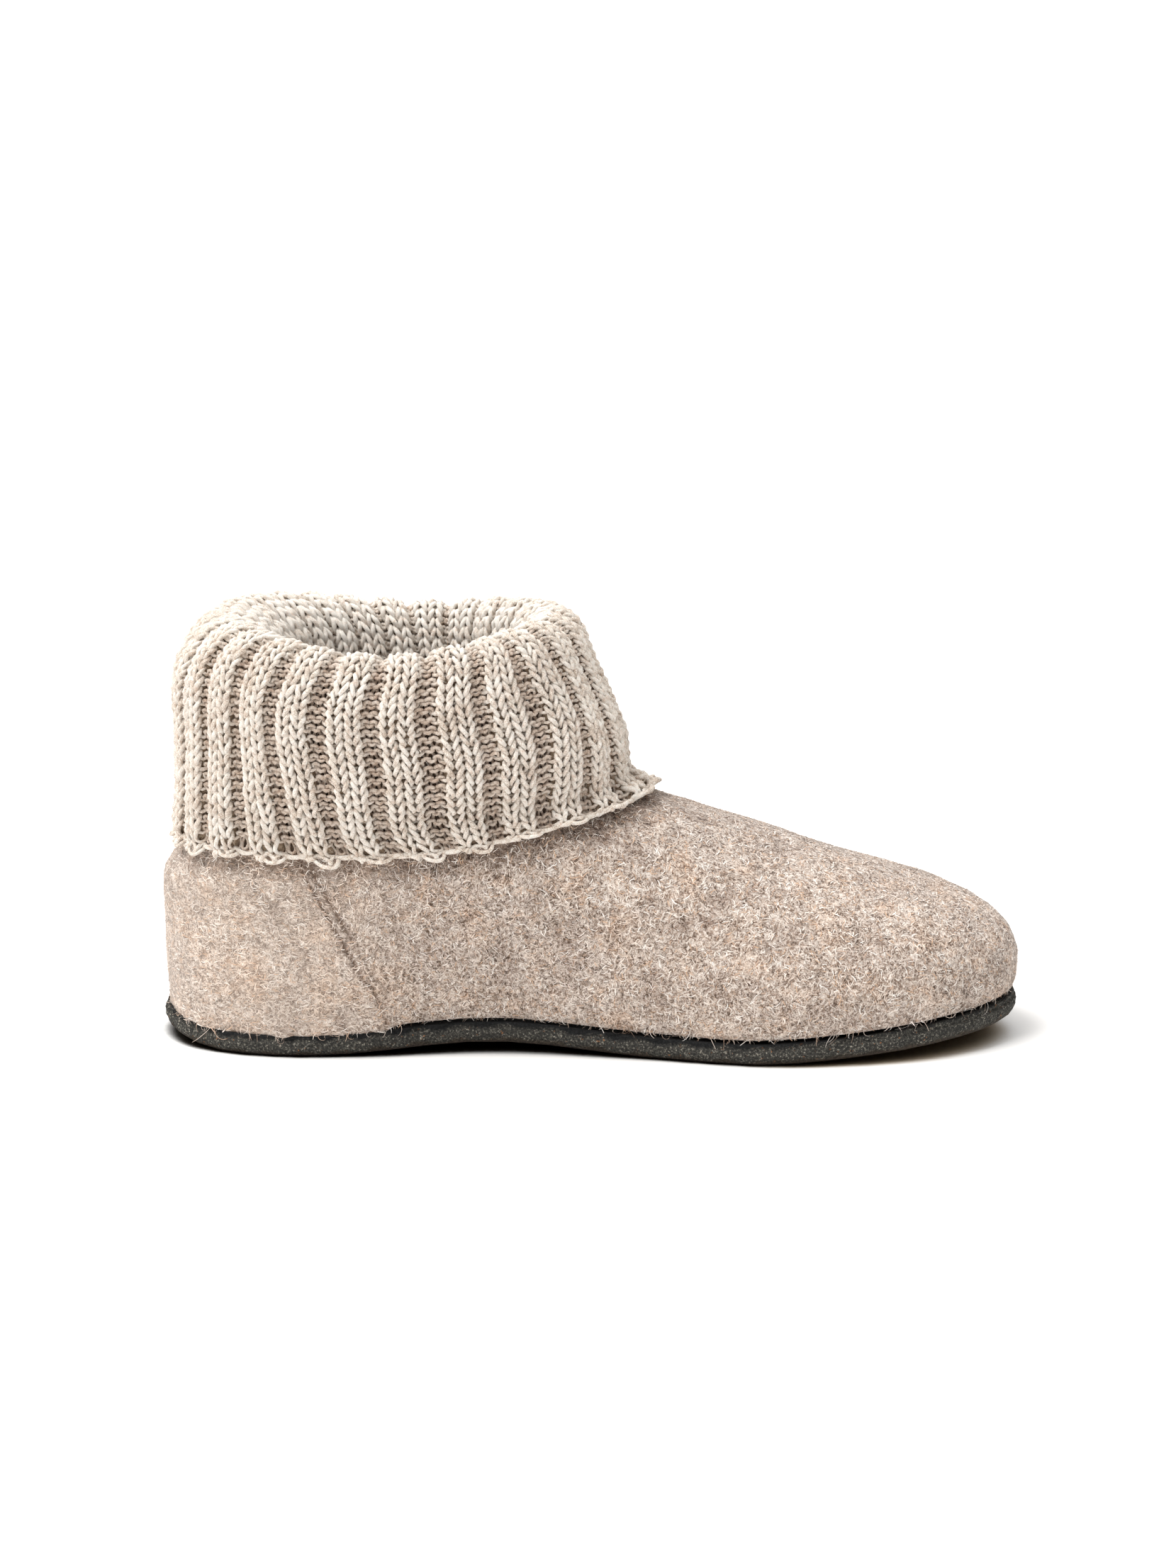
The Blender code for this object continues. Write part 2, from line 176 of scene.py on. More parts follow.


# %% [markdown]
# The shoe stands on a white sweep. In the photograph the floor lies in black shadow exactly where the sole
# stands over it. Its material paints that shadow into the floor's colour, finding those places by how
# much of the sky they see. Under the toe, where the sole springs up, the painted shadow is only brown.

# %% Floor
SHADE_REACH = 0.011
SHADE_START, SHADE_END = 0.43, 0.62
SPRING_START, SPRING_END = 0.045, 0.105

bpy.ops.object.select_all(action="DESELECT")
bpy.ops.mesh.primitive_plane_add(size=40)
floor = bpy.context.object
floor.name = "floor"
floor_finish, tree, shader = new_material("white_sweep", seen(250, 250, 250))
open_sky = put(tree, "ShaderNodeAmbientOcclusion", {"Distance": SHADE_REACH}, samples=8).outputs["AO"]
place = put(tree, "ShaderNodeTexCoord").outputs["Object"]
along = put(tree, "ShaderNodeSeparateXYZ", {0: place}).outputs[0]
at_toe = between(tree, along, SPRING_START, SPRING_END)
# Painted shadow: black under the sole and brown under the toe, mixed in by how much sky a place sees.
painted_shadow = mixed(tree, at_toe, seen(30, 24, 18), seen(196, 176, 148))
open_sky = between(tree, open_sky, SHADE_START, SHADE_END)
surface(tree, shader, mixed(tree, open_sky, painted_shadow, seen(248, 247, 246)), roughness=0.9, gloss=0.1)
floor.data.materials.append(floor_finish)
print("floor made")

# %% [markdown]
# The studio is bright: much of the light comes from the ceiling, and the rest from a large lamp high
# on the left, which brightens the heel, the instep and the rim of the cuff. Little light comes from
# the level of the floor, so the slot under the arch of the sole stays dark.
# A sun lamp with a very wide disc does this, because it lights the whole floor evenly, and the floor
# has to stay white up to the edge of the picture.

# %% Light
SKY_HORIZON, SKY_TOP = 0.03, 1.76
SKY_LOW, SKY_HIGH = 0.36, 0.92
KEY_PLACE = (-0.53, -0.24, 0.88)
KEY_WIDTH = math.radians(42)
KEY_ENERGY = 2.95

world = bpy.data.worlds.new("bright_tent")
bpy.context.scene.world = world
world.use_nodes = True
tree = world.node_tree
sky = tree.nodes["Background"]
sky.inputs["Color"].default_value = (1, 0.995, 0.985, 1)
toward = put(tree, "ShaderNodeTexCoord").outputs["Generated"]
height = put(tree, "ShaderNodeSeparateXYZ", {0: toward}).outputs[2]
inputs = {0: height, 1: SKY_LOW, 2: SKY_HIGH, 3: SKY_HORIZON, 4: SKY_TOP}
strength = put(tree, "ShaderNodeMapRange", inputs, interpolation_type="SMOOTHSTEP").outputs[0]
tree.links.new(strength, sky.inputs["Strength"])

bpy.ops.object.light_add(type="SUN", location=KEY_PLACE)
key = bpy.context.object
key.name = "key_light"
key.data.angle = KEY_WIDTH
key.data.energy = KEY_ENERGY
key.data.color = (1.0, 0.99, 0.975)
key.rotation_euler = (-key.location).to_track_quat("-Z", "Y").to_euler()

bpy.context.scene.view_settings.view_transform = "Standard"
bpy.context.scene.view_settings.look = "None"
bpy.context.scene.view_settings.exposure = 0.0
print("light made")

# %% [markdown]
# Boiled wool and the cuff's yarn are the same stuff: fibres of several natural shades, carded
# together, so that no square centimetre has one colour. Knitters call it a marl.
# The group below gives that marl as three numbers that change over the surface: a tone from dark
# to light fibres, a mask of the rarer tinted fibres, and a height for the bump. It is fed with
# Object coordinates, which are metres here, so a scale of 1000 makes grains of about a millimetre.

# %% Wool marl group
marl, marl_in, marl_out = shader_group(
    "wool_marl",
    {"Grain": 1000.0, "Curl": 620.0, "Patch": 120.0},
    ("Tone", "Tint", "Height"),
)
place = put(marl, "ShaderNodeTexCoord").outputs["Object"]
grain = noise(marl, place, marl_in["Grain"], detail=3.0, roughness=0.6, distortion=0.9)
curl = noise(marl, place, marl_in["Curl"], detail=2.0, distortion=2.2)
# A thin line where the curly noise crosses its middle value looks like a fibre lying on the felt.
line = number(marl, "ABSOLUTE", number(marl, "SUBTRACT", curl, 0.5))
line = number(marl, "SUBTRACT", 1.0, number(marl, "MULTIPLY", line, 9.0))
fibre = put(marl, "ShaderNodeClamp", {0: line}).outputs[0]
patch = noise(marl, place, marl_in["Patch"], detail=3.0, roughness=0.6)
tint = noise(marl, place, number(marl, "MULTIPLY", marl_in["Patch"], 2.3), detail=4.0, roughness=0.7)
tone = number(marl, "MULTIPLY_ADD", grain, 0.62, number(marl, "MULTIPLY", fibre, 0.16))
tone = number(marl, "MULTIPLY_ADD", patch, 0.22, number(marl, "ADD", tone, 0.02))
marl.links.new(tone, marl_out["Tone"])
marl.links.new(between(marl, tint, 0.52, 0.72), marl_out["Tint"])
marl.links.new(number(marl, "MULTIPLY_ADD", fibre, 0.5, grain), marl_out["Height"])


def place_marl(tree, **inputs):
    node = tree.nodes.new("ShaderNodeGroup")
    node.node_tree = marl
    for name, value in inputs.items():
        node.inputs[name].default_value = value
    return node.outputs


print("wool marl group made")

# %% [markdown]
# The felt is beige with greyer and rosier patches, and up close its light fibres curl over darker
# gaps. A wool surface is never glossy: it has high roughness and a faint sheen, because the fibre
# ends that stand up catch the light at the edges of the form. The mesh carries a number that paints
# shade into the lines beside the seam, and into the felt just under the cuff's hem.

# %% Felt material
def felt_patches(tree, colour):
    """Mixes broad peach and grey patches into a felt colour. The heel is rosier, and painted light makes it
    paler.
    """
    place = put(tree, "ShaderNodeTexCoord").outputs["Object"]
    broad = noise(tree, place, 75.0, detail=5.0, roughness=0.68)
    along = put(tree, "ShaderNodeSeparateXYZ", {0: place}).outputs[0]
    heel = between(tree, along, -0.050, -0.085)
    peach = between(tree, number(tree, "MULTIPLY_ADD", heel, 0.04, broad), 0.50, 0.68, top=0.48)
    grey = between(tree, broad, 0.47, 0.33, top=0.75)
    colour = mixed(tree, grey, colour, seen(212, 203, 198), "MULTIPLY")
    colour = mixed(tree, peach, colour, seen(255, 234, 214), "MULTIPLY")
    # Painted light: the heel is mixed towards a paler colour, as the lamp on the left brightens it.
    return mixed(tree, number(tree, "MULTIPLY", heel, 0.18), colour, seen(242, 224, 208))


felt_finish, tree, shader = new_material("boiled_wool_felt", seen(196, 177, 162))
wool = place_marl(tree, Grain=900.0, Curl=560.0, Patch=190.0)
colour = ramp(tree, wool["Tone"], [
    (0.37, seen(84, 66, 54)),
    (0.46, seen(158, 139, 125)),
    (0.55, seen(208, 192, 180)),
    (0.66, seen(244, 234, 225)),
])
tint = number(tree, "MULTIPLY", wool["Tint"], 0.35)
colour = mixed(tree, tint, colour, seen(206, 172, 144))
colour = felt_patches(tree, colour)
# Painted shade: this darkens the lines beside the seam and the felt just under the cuff's hem.
colour = mixed(tree, carried(tree, "crease"), colour, seen(150, 132, 118), "MULTIPLY")
surface(tree, shader, colour, roughness=0.95, gloss=0.15, sheen=0.25, sheen_roughness=0.6)
relief(tree, shader, wool["Height"], strength=0.8, distance=0.0005)

# %% [markdown]
# The yarn is creamier than the felt. It is spun, so its fibres run round it in a slow screw. Each
# yarn mesh carries how far along the yarn a point is, in metres, and which way round the yarn it
# lies. From those two the material draws the screw, and it stays on the yarn through every loop.

# %% Yarn material
PLY_PITCH = 0.0032


def yarn_material(name, dark, middle, light, tinted):
    made, tree, shader = new_material(name, middle)
    wool = place_marl(tree, Grain=2600.0, Curl=1500.0, Patch=260.0)
    round_yarn = put(tree, "ShaderNodeAttribute", attribute_name="yarn_round").outputs["Vector"]
    apart = put(tree, "ShaderNodeSeparateXYZ", {0: round_yarn}).outputs
    turn = number(tree, "MULTIPLY", carried(tree, "yarn_along"), 2 * math.pi / PLY_PITCH)
    screw = number(tree, "MULTIPLY", number(tree, "SINE", turn), apart[0])
    screw = number(tree, "ADD", screw, number(tree, "MULTIPLY", number(tree, "COSINE", turn), apart[1]))
    tone = number(tree, "MULTIPLY_ADD", screw, 0.03, wool["Tone"])
    tone = number(tree, "MULTIPLY_ADD", carried(tree, "stitch"), 0.10, number(tree, "SUBTRACT", tone, 0.05))
    colour = ramp(tree, tone, [(0.34, dark), (0.46, middle), (0.60, light)])
    colour = mixed(tree, number(tree, "MULTIPLY", wool["Tint"], 0.45), colour, tinted)
    # Painted shade: the sunk purl valleys are darkened in the yarn's colour.
    shaded = number(tree, "MULTIPLY", carried(tree, "valley"), 0.60)
    colour = mixed(tree, shaded, colour, seen(216, 201, 190), "MULTIPLY")
    surface(tree, shader, colour, roughness=0.92, gloss=0.2, sheen=0.2)
    height = number(tree, "MULTIPLY_ADD", screw, 0.35, wool["Height"])
    relief(tree, shader, height, strength=0.6, distance=0.0003)
    return made


yarn_finish = yarn_material(
    "marled_cuff_yarn", seen(174, 152, 133), seen(228, 214, 199), seen(250, 245, 237), seen(212, 176, 150)
)
print("felt and yarn materials made")

# %% [markdown]
# Several pieces start as arrays of points: the guide of the cuff, its yarns, the loose fibres. These
# helpers turn arrays into finished pieces. A finished piece sits at the origin with its place in
# its mesh, rides on the shoe's one body, and hides the CAD solids that it replaces.

# %% Piece helpers
def only(thing):
    """Makes one object the selected and the active one."""
    bpy.ops.object.select_all(action="DESELECT")
    thing.select_set(True)
    bpy.context.view_layer.objects.active = thing


def unit(vectors):
    return vectors / np.linalg.norm(vectors, axis=-1, keepdims=True)


def placed(name, data):
    """A new object at the origin."""
    thing = bpy.data.objects.new(name, data)
    bpy.context.scene.collection.objects.link(thing)
    return thing


def finish_piece(thing, slot, *replaced):
    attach(thing, "root")
    if replaced:
        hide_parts(*replaced)
    thing.data.calc_loop_triangles()
    print(thing.name, len(thing.data.loop_triangles), "triangles")
    return thing


def mesh_from_arrays(name, points, faces, finish):
    """A mesh object from arrays of points and of faces that all have the same number of corners."""
    corners = faces.shape[1]
    mesh = bpy.data.meshes.new(name)
    mesh.vertices.add(len(points))
    mesh.vertices.foreach_set("co", np.ascontiguousarray(points, np.float32).ravel())
    mesh.loops.add(faces.size)
    mesh.loops.foreach_set("vertex_index", np.ascontiguousarray(faces, np.int32).ravel())
    mesh.polygons.add(len(faces))
    mesh.polygons.foreach_set("loop_start", np.arange(0, faces.size, corners, dtype=np.int32))
    mesh.update(calc_edges=True)
    mesh.validate()
    mesh.shade_smooth()
    mesh.materials.append(finish)
    return placed(name, mesh)


def add_numbers(mesh, name, values, kind="FLOAT"):
    """Stores one number or one vector per point of a mesh."""
    attribute = mesh.attributes.new(name, kind, "POINT")
    field = "value" if kind == "FLOAT" else "vector"
    attribute.data.foreach_set(field, np.ascontiguousarray(values, np.float32).ravel())


def eased(value, low, high):
    """0 below low, 1 above high, and a soft step between."""
    share = np.clip((value - low) / (high - low), 0, 1)
    return share * share * (3 - 2 * share)


# %% [markdown]
# The cuff is a knitted tube: it comes up inside the felt, leans in towards the ankle, folds over
# a soft rim and hangs down outside. Before any yarn there is a guide, a smooth skin through the
# same rings as the CAD cuff. A place on it is named by its turn round the ankle (0 at the back of
# the heel, a quarter on the inner side, a half at the front), by its course (rows of stitches,
# counted from the hem over the rim to the inside) and by its height over the skin.
# The felt's upper rings come first, because both ends of the cuff lie along them.

# %% The felt's rings under the cuff
SHOE_SHIFT = np.array((-0.133178, -0.002231, 0.0))
SOLE_LENGTH = 0.266
TOPLINE_FRONT = 0.135
BALL_HALF = 0.048
FELT_WALL = 0.003
FELT_BASE = 0.007
INSTEP_HEIGHT = 0.0772
COUNTER_HEIGHT = 0.0657
BACK_SQUARENESS = 2.6
FRONT_SQUARENESS = 2.1

# front, front_rise, back, back_rise, inner, outer, widest
FELT_RINGS = (
    (0.386, 0.752, -0.15, 0.700, 0.81, 0.85, 0.47),
    (0.254, 0.826, -0.70, 0.745, 0.81, 0.84, 0.48),
    (0.142, 0.872, -2.20, 0.805, 0.80, 0.82, 0.49),
    (0.069, 0.928, -2.65, 0.890, 0.79, 0.80, 0.50),
    (0.000, 1.000, -3.00, 1.000, 0.78, 0.78, 0.50),
)
HEM_RING, WAIST_RING, TOPLINE_RING = 2, 3, 4
OVAL_POINTS = 481


def even_steps(points):
    """The same line with its points the same way apart."""
    steps = np.linalg.norm(np.diff(points, axis=0), axis=1)
    length = np.concatenate([[0], np.cumsum(steps)])
    want = np.linspace(0, length[-1], len(points))
    return np.stack([np.interp(want, length, points[:, k]) for k in range(3)], axis=1)


def felt_ring_sides(row):
    front, front_rise, back, back_rise, inner, outer, widest = row
    front_x = TOPLINE_FRONT + (SOLE_LENGTH - TOPLINE_FRONT) * front
    back_x = -back * FELT_WALL
    middle = back_x + (front_x - back_x) * widest
    angle = np.linspace(0, math.pi, OVAL_POINTS)
    behind = angle < math.pi / 2
    power = np.where(behind, 2 / BACK_SQUARENESS, 2 / FRONT_SQUARENESS)
    reach = np.where(behind, middle - back_x, middle - front_x)
    x = middle - reach * np.abs(np.cos(angle)) ** power
    along = (x - back_x) / (front_x - back_x)
    back_z, front_z = back_rise * COUNTER_HEIGHT, front_rise * INSTEP_HEIGHT
    z = FELT_BASE + back_z + along * (front_z - back_z)
    sides = []
    for side, half in ((-1, inner), (1, outer)):
        y = side * half * BALL_HALF * np.clip(np.sin(angle), 0, 1) ** power
        sides.append(even_steps(np.stack([x, y, z], axis=1)))
    return sides


FELT_SIDES = [felt_ring_sides(row) for row in FELT_RINGS]


def on_felt(row, turns):
    """Places on one of the felt's rings."""
    turns = turns % 1
    at = np.where(turns <= 0.5, turns, 1 - turns) * 2 * (OVAL_POINTS - 1)
    low = np.clip(at.astype(int), 0, OVAL_POINTS - 2)
    part = (at - low)[:, None]
    inner, outer = (side[low] * (1 - part) + side[low + 1] * part for side in FELT_SIDES[row])
    return np.where((turns <= 0.5)[:, None], inner, outer)


def off_felt(row, turns, distance):
    """The same places, moved out of the felt."""
    around = on_felt(row, turns + 0.004) - on_felt(row, turns - 0.004)
    above = on_felt(min(row + 1, TOPLINE_RING), turns) - on_felt(row - 1, turns)
    return on_felt(row, turns) + unit(np.cross(around, above)) * distance


# %% The cuff's own rings
CUFF_TOP = 0.134
CUFF_THICKNESS = 0.0034
CUFF_GAP = 0.0012
CUFF_STAND = 0.0086
NECK_DRAW = 0.025
CUFF_SAG = 0.008
RIM_LEAN = 1.25
HEM_DIP = 0.8

# back, front, side, back_rise, front_rise, sag_inner, sag_outer
CUFF_RINGS = (
    (0.48, 1.15, 0.97, 0.13, 0.10, 0.25, 0.25),
    (0.48, 0.96, 1.00, 0.42, 0.27, 0.50, 0.35),
    (0.48, 0.00, 0.94, 0.69, 0.65, 0.66, 0.42),
    (-0.10, -0.22, 0.55, 0.90, 0.91, 0.80, 0.56),
    (-0.48, -0.56, -0.02, 0.99, 0.99, 0.83, 0.54),
    (-0.94, -0.86, -0.23, 0.92, 0.89, 0.80, 0.50),
    (-1.22, -0.96, -0.33, 0.74, 0.67, 0.50, 0.35),
    (-1.00, -0.78, -0.31, 0.50, 0.45, 0.25, 0.20),
    (-0.50, -0.48, -0.28, 0.26, 0.24, 0.10, 0.10),
)
CREST = 6


def cuff_ring(row, turns):
    back, front, side, back_rise, front_rise, sag_inner, sag_outer = row
    out_back, out_front, out_side = (s * (CUFF_STAND if s > 0 else NECK_DRAW) for s in (back, front, side))
    base = on_felt(TOPLINE_RING, turns)
    start, end = on_felt(TOPLINE_RING, np.array((0.0, 0.5)))
    half = FELT_RINGS[TOPLINE_RING][4] * BALL_HALF
    along = np.clip((base[:, 0] - start[0]) / (end[0] - start[0]), 0, 1)
    x = start[0] - out_back + (end[0] + out_front - start[0] + out_back) * along
    y = base[:, 1] * (half + out_side) / half
    outer = turns % 1 > 0.5
    sag = CUFF_SAG * np.where(outer, sag_outer, sag_inner)
    back_up, front_up = back_rise * (CUFF_TOP - start[2]), front_rise * (CUFF_TOP - end[2])
    rise = back_up + (front_up - back_up) * along
    lean = np.where(outer, RIM_LEAN, 1.0)
    z = start[2] + (end[2] - start[2]) * along + rise - sag * np.sin(math.pi * along**lean).clip(0) ** 1.5
    return np.stack([x, y, z], axis=1)


GUIDE_TURNS = 1248
guide_turns = np.arange(GUIDE_TURNS) / GUIDE_TURNS
hem_dip = (HEM_DIP * np.sin(2 * math.pi * guide_turns) ** 4)[:, None]
outside = CUFF_GAP + CUFF_THICKNESS
inside = -(FELT_WALL + CUFF_GAP + CUFF_THICKNESS)
lower, hem, waist = (off_felt(row, guide_turns, outside) for row in (HEM_RING - 1, HEM_RING, WAIST_RING))
guide_rings = [hem * (1 - hem_dip) + lower * hem_dip, waist]
guide_rings += [cuff_ring(row, guide_turns) for row in CUFF_RINGS]
guide_rings += [off_felt(row, guide_turns, inside) for row in (TOPLINE_RING, WAIST_RING)]
guide_rings = np.array(guide_rings) + SHOE_SHIFT
print("guide rings", guide_rings.shape)

# %% [markdown]
# A knitter's courses are all the same height, and the rings are not. So a smooth curve is drawn up
# each turn through all the rings, its length is measured, and the courses are set off along it:
# twenty-three from the hem to the crest of the rim and nineteen more down the inside.

# %% Courses on the guide
OUTER_COURSES = 23
INNER_COURSES = 19
STEPS_PER_COURSE = 8
STEPS_PER_RING = 14


def through_rings(rings, steps):
    """A Catmull-Rom curve up every turn."""
    padded = np.concatenate([2 * rings[:1] - rings[1:2], rings, 2 * rings[-1:] - rings[-2:-1]])
    rows = []
    for k in range(len(rings) - 1):
        before, start, end, after = padded[k : k + 4]
        slope, next_slope, rise = (end - before) / 2, (after - start) / 2, end - start
        squared, cubed = rise * 3 - slope * 2 - next_slope, slope + next_slope - rise * 2
        for t in np.arange(steps) / steps:
            rows.append(start + slope * t + squared * t**2 + cubed * t**3)
    rows.append(rings[-1])
    return np.array(rows)


fine = through_rings(guide_rings, STEPS_PER_RING)
steps = np.linalg.norm(np.diff(fine, axis=0), axis=2)
length = np.concatenate([np.zeros((1, GUIDE_TURNS)), np.cumsum(steps, axis=0)])
crest_length = length[CREST * STEPS_PER_RING]
skin = np.zeros(((OUTER_COURSES + INNER_COURSES) * STEPS_PER_COURSE + 1, GUIDE_TURNS, 3))
for k in range(GUIDE_TURNS):
    want = np.concatenate([
        np.linspace(0, crest_length[k], OUTER_COURSES * STEPS_PER_COURSE + 1),
        np.linspace(crest_length[k], length[-1, k], INNER_COURSES * STEPS_PER_COURSE + 1)[1:],
    ])
    for axis in range(3):
        skin[:, k, axis] = np.interp(want, length[:, k], fine[:, k, axis])
around = np.roll(skin, -1, axis=1) - np.roll(skin, 1, axis=1)
skin_out = unit(np.cross(around, np.gradient(skin, axis=0)))


def on_cuff(turn, course, height):
    """Places over the cuff's skin, for arrays of turns, courses and heights."""
    across = (turn % 1) * GUIDE_TURNS
    up = np.clip(course * STEPS_PER_COURSE, -STEPS_PER_COURSE, len(skin) - 1.001)
    column, row = across.astype(int), np.clip(up, 0, None).astype(int)
    a, b = (across - column)[..., None], (up - row)[..., None]
    column %= GUIDE_TURNS
    after = (column + 1) % GUIDE_TURNS
    found = []
    for table in (skin, skin_out):
        low = table[row, column] * (1 - a) + table[row, after] * a
        high = table[row + 1, column] * (1 - a) + table[row + 1, after] * a
        found.append(low * (1 - b) + high * b)
    return found[0] + found[1] * height[..., None]


print("course height in mm", round(1000 * crest_length.mean() / OUTER_COURSES, 2))

# %% [markdown]
# The rib is two knit columns and two purl columns, twenty-six times round. The knit pair stands up
# and the purl pair sinks between, as a rib does when nothing stretches it. The ribs crowd a little
# towards the heel, and as the cuff is folded by hand they lean forwards towards the rim.

# %% Ribs round the cuff
RIB_COUNT = 26
HEEL_CROWDING = 0.040
SIDE_STRETCH = 0.015

# Centre and width of each column as shares of the rib's pitch, outside and inside, and its face
COLUMNS = (
    (0.1325, 0.325, 0.09, 0.42, 1),
    (0.4575, 0.325, 0.51, 0.42, 1),
    (0.7075, 0.175, 0.76, 0.08, -1),
    (0.8825, 0.175, 0.84, 0.08, -1),
)
KNIT_CENTRE = 0.295

# How far the ribs have leant, in turns, at places round the side (0 heel, 1 toe). A row's numbers are
# evenly spread up the outer leg, from the hem to the crest.
LEAN_SIDES = (0.0, 0.2, 0.35, 0.5, 0.65, 0.8, 0.9, 1.0)
LEAN = (
    (0.000, 0.000, 0.000, 0.000, 0.000, 0.000, 0.000),
    (-0.010, -0.007, -0.005, -0.003, 0.000, -0.004, -0.002),
    (-0.005, -0.003, -0.006, -0.011, -0.007, -0.002, 0.000),
    (-0.008, -0.003, -0.004, -0.004, 0.001, 0.0075, 0.011),
    (-0.015, 0.005, 0.006, 0.010, 0.015, 0.019, 0.022),
    (-0.010, 0.010, 0.015, 0.0235, 0.0245, 0.017, 0.010),
    (-0.006, 0.003, 0.0075, 0.0125, 0.0135, 0.010, 0.005),
    (0.000, 0.000, 0.000, 0.000, 0.000, 0.000, 0.000),
)


def rib_turn(even):
    """The turn of a place that is counted evenly in ribs, 0 to 1 round the ankle."""
    even = even % 1
    side = np.where(even <= 0.5, even, 1 - even) * 2
    moved = side - HEEL_CROWDING * np.sin(math.pi * side) - SIDE_STRETCH * np.sin(2 * math.pi * side)
    return np.where(even <= 0.5, moved / 2, 1 - moved / 2)


LEAN_STEPS = 12
lean_by_course = through_rings(np.array(LEAN).T, LEAN_STEPS)


def leant(turn, course):
    """The turn after the lean."""
    side = np.clip(np.where(turn <= 0.5, turn, 1 - turn) * 2, 0, 1)
    up = np.clip(course / OUTER_COURSES, 0, 0.9999) * (len(lean_by_course) - 1)
    row = up.astype(int)
    part = up - row
    at = np.interp(side, LEAN_SIDES, np.arange(len(LEAN_SIDES)))
    low = np.clip(at.astype(int), 0, len(LEAN_SIDES) - 2)
    ease = eased(at - low, 0, 1)
    lean = np.zeros(len(turn))
    for k, here in ((0, 1 - part), (1, part)):
        lean += here * (lean_by_course[row + k, low] * (1 - ease) + lean_by_course[row + k, low + 1] * ease)
    return turn + np.where(turn <= 0.5, lean, -lean)


CLOSING_COURSES = 4.5


def closing(course):
    """How far the ribs have closed up: 0 down the outside, 1 past the crest of the rim."""
    return eased(course, OUTER_COURSES - CLOSING_COURSES, OUTER_COURSES)


# %% Height of the ribs
CROWN_HEIGHT, CROWN_HALF = 0.0006, 0.32
EDGE_OUTSIDE, EDGE_INSIDE, EDGE_SLOPE = 0.27, 0.34, 0.13
YARN_SINK = 0.0015
VALLEY_DEPTH = 0.0019


def rib_relief(share, course):
    """The height of the yarn's middle over the skin: knit crests up, purl valleys down."""
    away = np.abs((share - KNIT_CENTRE + 0.5) % 1 - 0.5)
    edge = EDGE_OUTSIDE + (EDGE_INSIDE - EDGE_OUTSIDE) * closing(course)
    crown = CROWN_HEIGHT * np.clip(1 - (away / CROWN_HALF) ** 2, 0, 1)
    valley = eased(away, edge, edge + EDGE_SLOPE)
    return crown - YARN_SINK - VALLEY_DEPTH * valley, valley


# %% [markdown]
# Every course is one yarn. Within a stitch it rises on one side, bends over at the head, comes down
# the other side and passes at its foot to the next stitch. Seen from the front of a knit stitch
# the two legs lie on top and make a V, and the heads and feet pass behind; a purl stitch is the
# same loop from behind, so its heads and feet show as crescents.
# Three sines draw that path. It is laid on the guide as a curve with a round bevel, one closed
# spline for each course, and then made a mesh.

# %% Yarn path
POINTS_PER_STITCH = 12
YARN_RADIUS = 0.00079
FIRST_COURSE = 1.9
KNIT_REACH = 0.93
PURL_REACH = 0.75
KNIT_SWELL = 0.255
PURL_SWELL = 0.27
LOOP_DEPTH = 0.00095
KNIT_THIN, KNIT_THICKER, PURL_THICK = 0.77, 0.24, 0.70
# Painted light: the yarn inside the cuff is made paler, for the light from above that falls in.
INSIDE_PAINTED_PALER = 0.7

# How unevenly a knitter works: along the course, up it, off the cuff, and in the yarn's thickness
UNEVEN_ALONG, UNEVEN_UP, UNEVEN_OFF, UNEVEN_THICK = 0.013, 0.075, 0.0001, 0.09
STITCHES = RIB_COUNT * len(COLUMNS)
rng = np.random.default_rng(17)


def wander(count, amount, points):
    """A closed random line that changes from stitch to stitch."""
    knots = rng.normal(0, amount, count)
    at = np.arange(count * points) / points
    return np.interp(at, np.arange(count + 1), np.append(knots, knots[0]))


def yarn_course(course, points):
    """Points, radii and numbers of one course of the rib."""
    stitch = np.repeat(np.arange(STITCHES), points)
    rib, column = stitch // 4, stitch % 4
    t = np.tile(-math.pi + 2 * math.pi * np.arange(points) / points, STITCHES)
    inner = closing(np.full(len(t), float(course)))
    table = np.array(COLUMNS)[column]
    centre = table[:, 0] * (1 - inner) + table[:, 2] * inner
    width = table[:, 1] * (1 - inner) + table[:, 3] * inner
    face = table[:, 4]
    neighbour = np.array(COLUMNS)[(column + np.where(t < 0, -1, 1)) % 4][:, 4]
    near_edge = eased(np.abs(t), math.pi / 2, math.pi)
    face = face * (1 - near_edge) + (face + neighbour) / 2 * near_edge
    knitted = table[:, 4] > 0
    swell = np.where(knitted, KNIT_SWELL, PURL_SWELL)
    share = centre + width * (t / (2 * math.pi) + swell * np.sin(2 * t))
    share = share + wander(STITCHES, UNEVEN_ALONG, points)
    reach = PURL_REACH + (KNIT_REACH - PURL_REACH) * (face + 1) / 2
    up = course + FIRST_COURSE + reach * np.cos(t) + wander(STITCHES, UNEVEN_UP, points)
    raised, valley = rib_relief(share, up)
    height = raised - face * LOOP_DEPTH * np.cos(2 * t) + wander(STITCHES, UNEVEN_OFF, points)
    turn = leant(rib_turn((rib + share) / RIB_COUNT), up)
    radius = np.where(knitted, KNIT_THIN + KNIT_THICKER * np.sin(t) ** 2, PURL_THICK)
    radius *= 1 + wander(STITCHES, UNEVEN_THICK, points)
    # Each stitch gets a random tone, painted paler inside the cuff, where the painted valley shade is halved.
    tone = np.repeat(rng.random(STITCHES), points) + INSIDE_PAINTED_PALER * inner
    return on_cuff(turn, up, height), radius, tone, valley * (1 - 0.5 * inner)


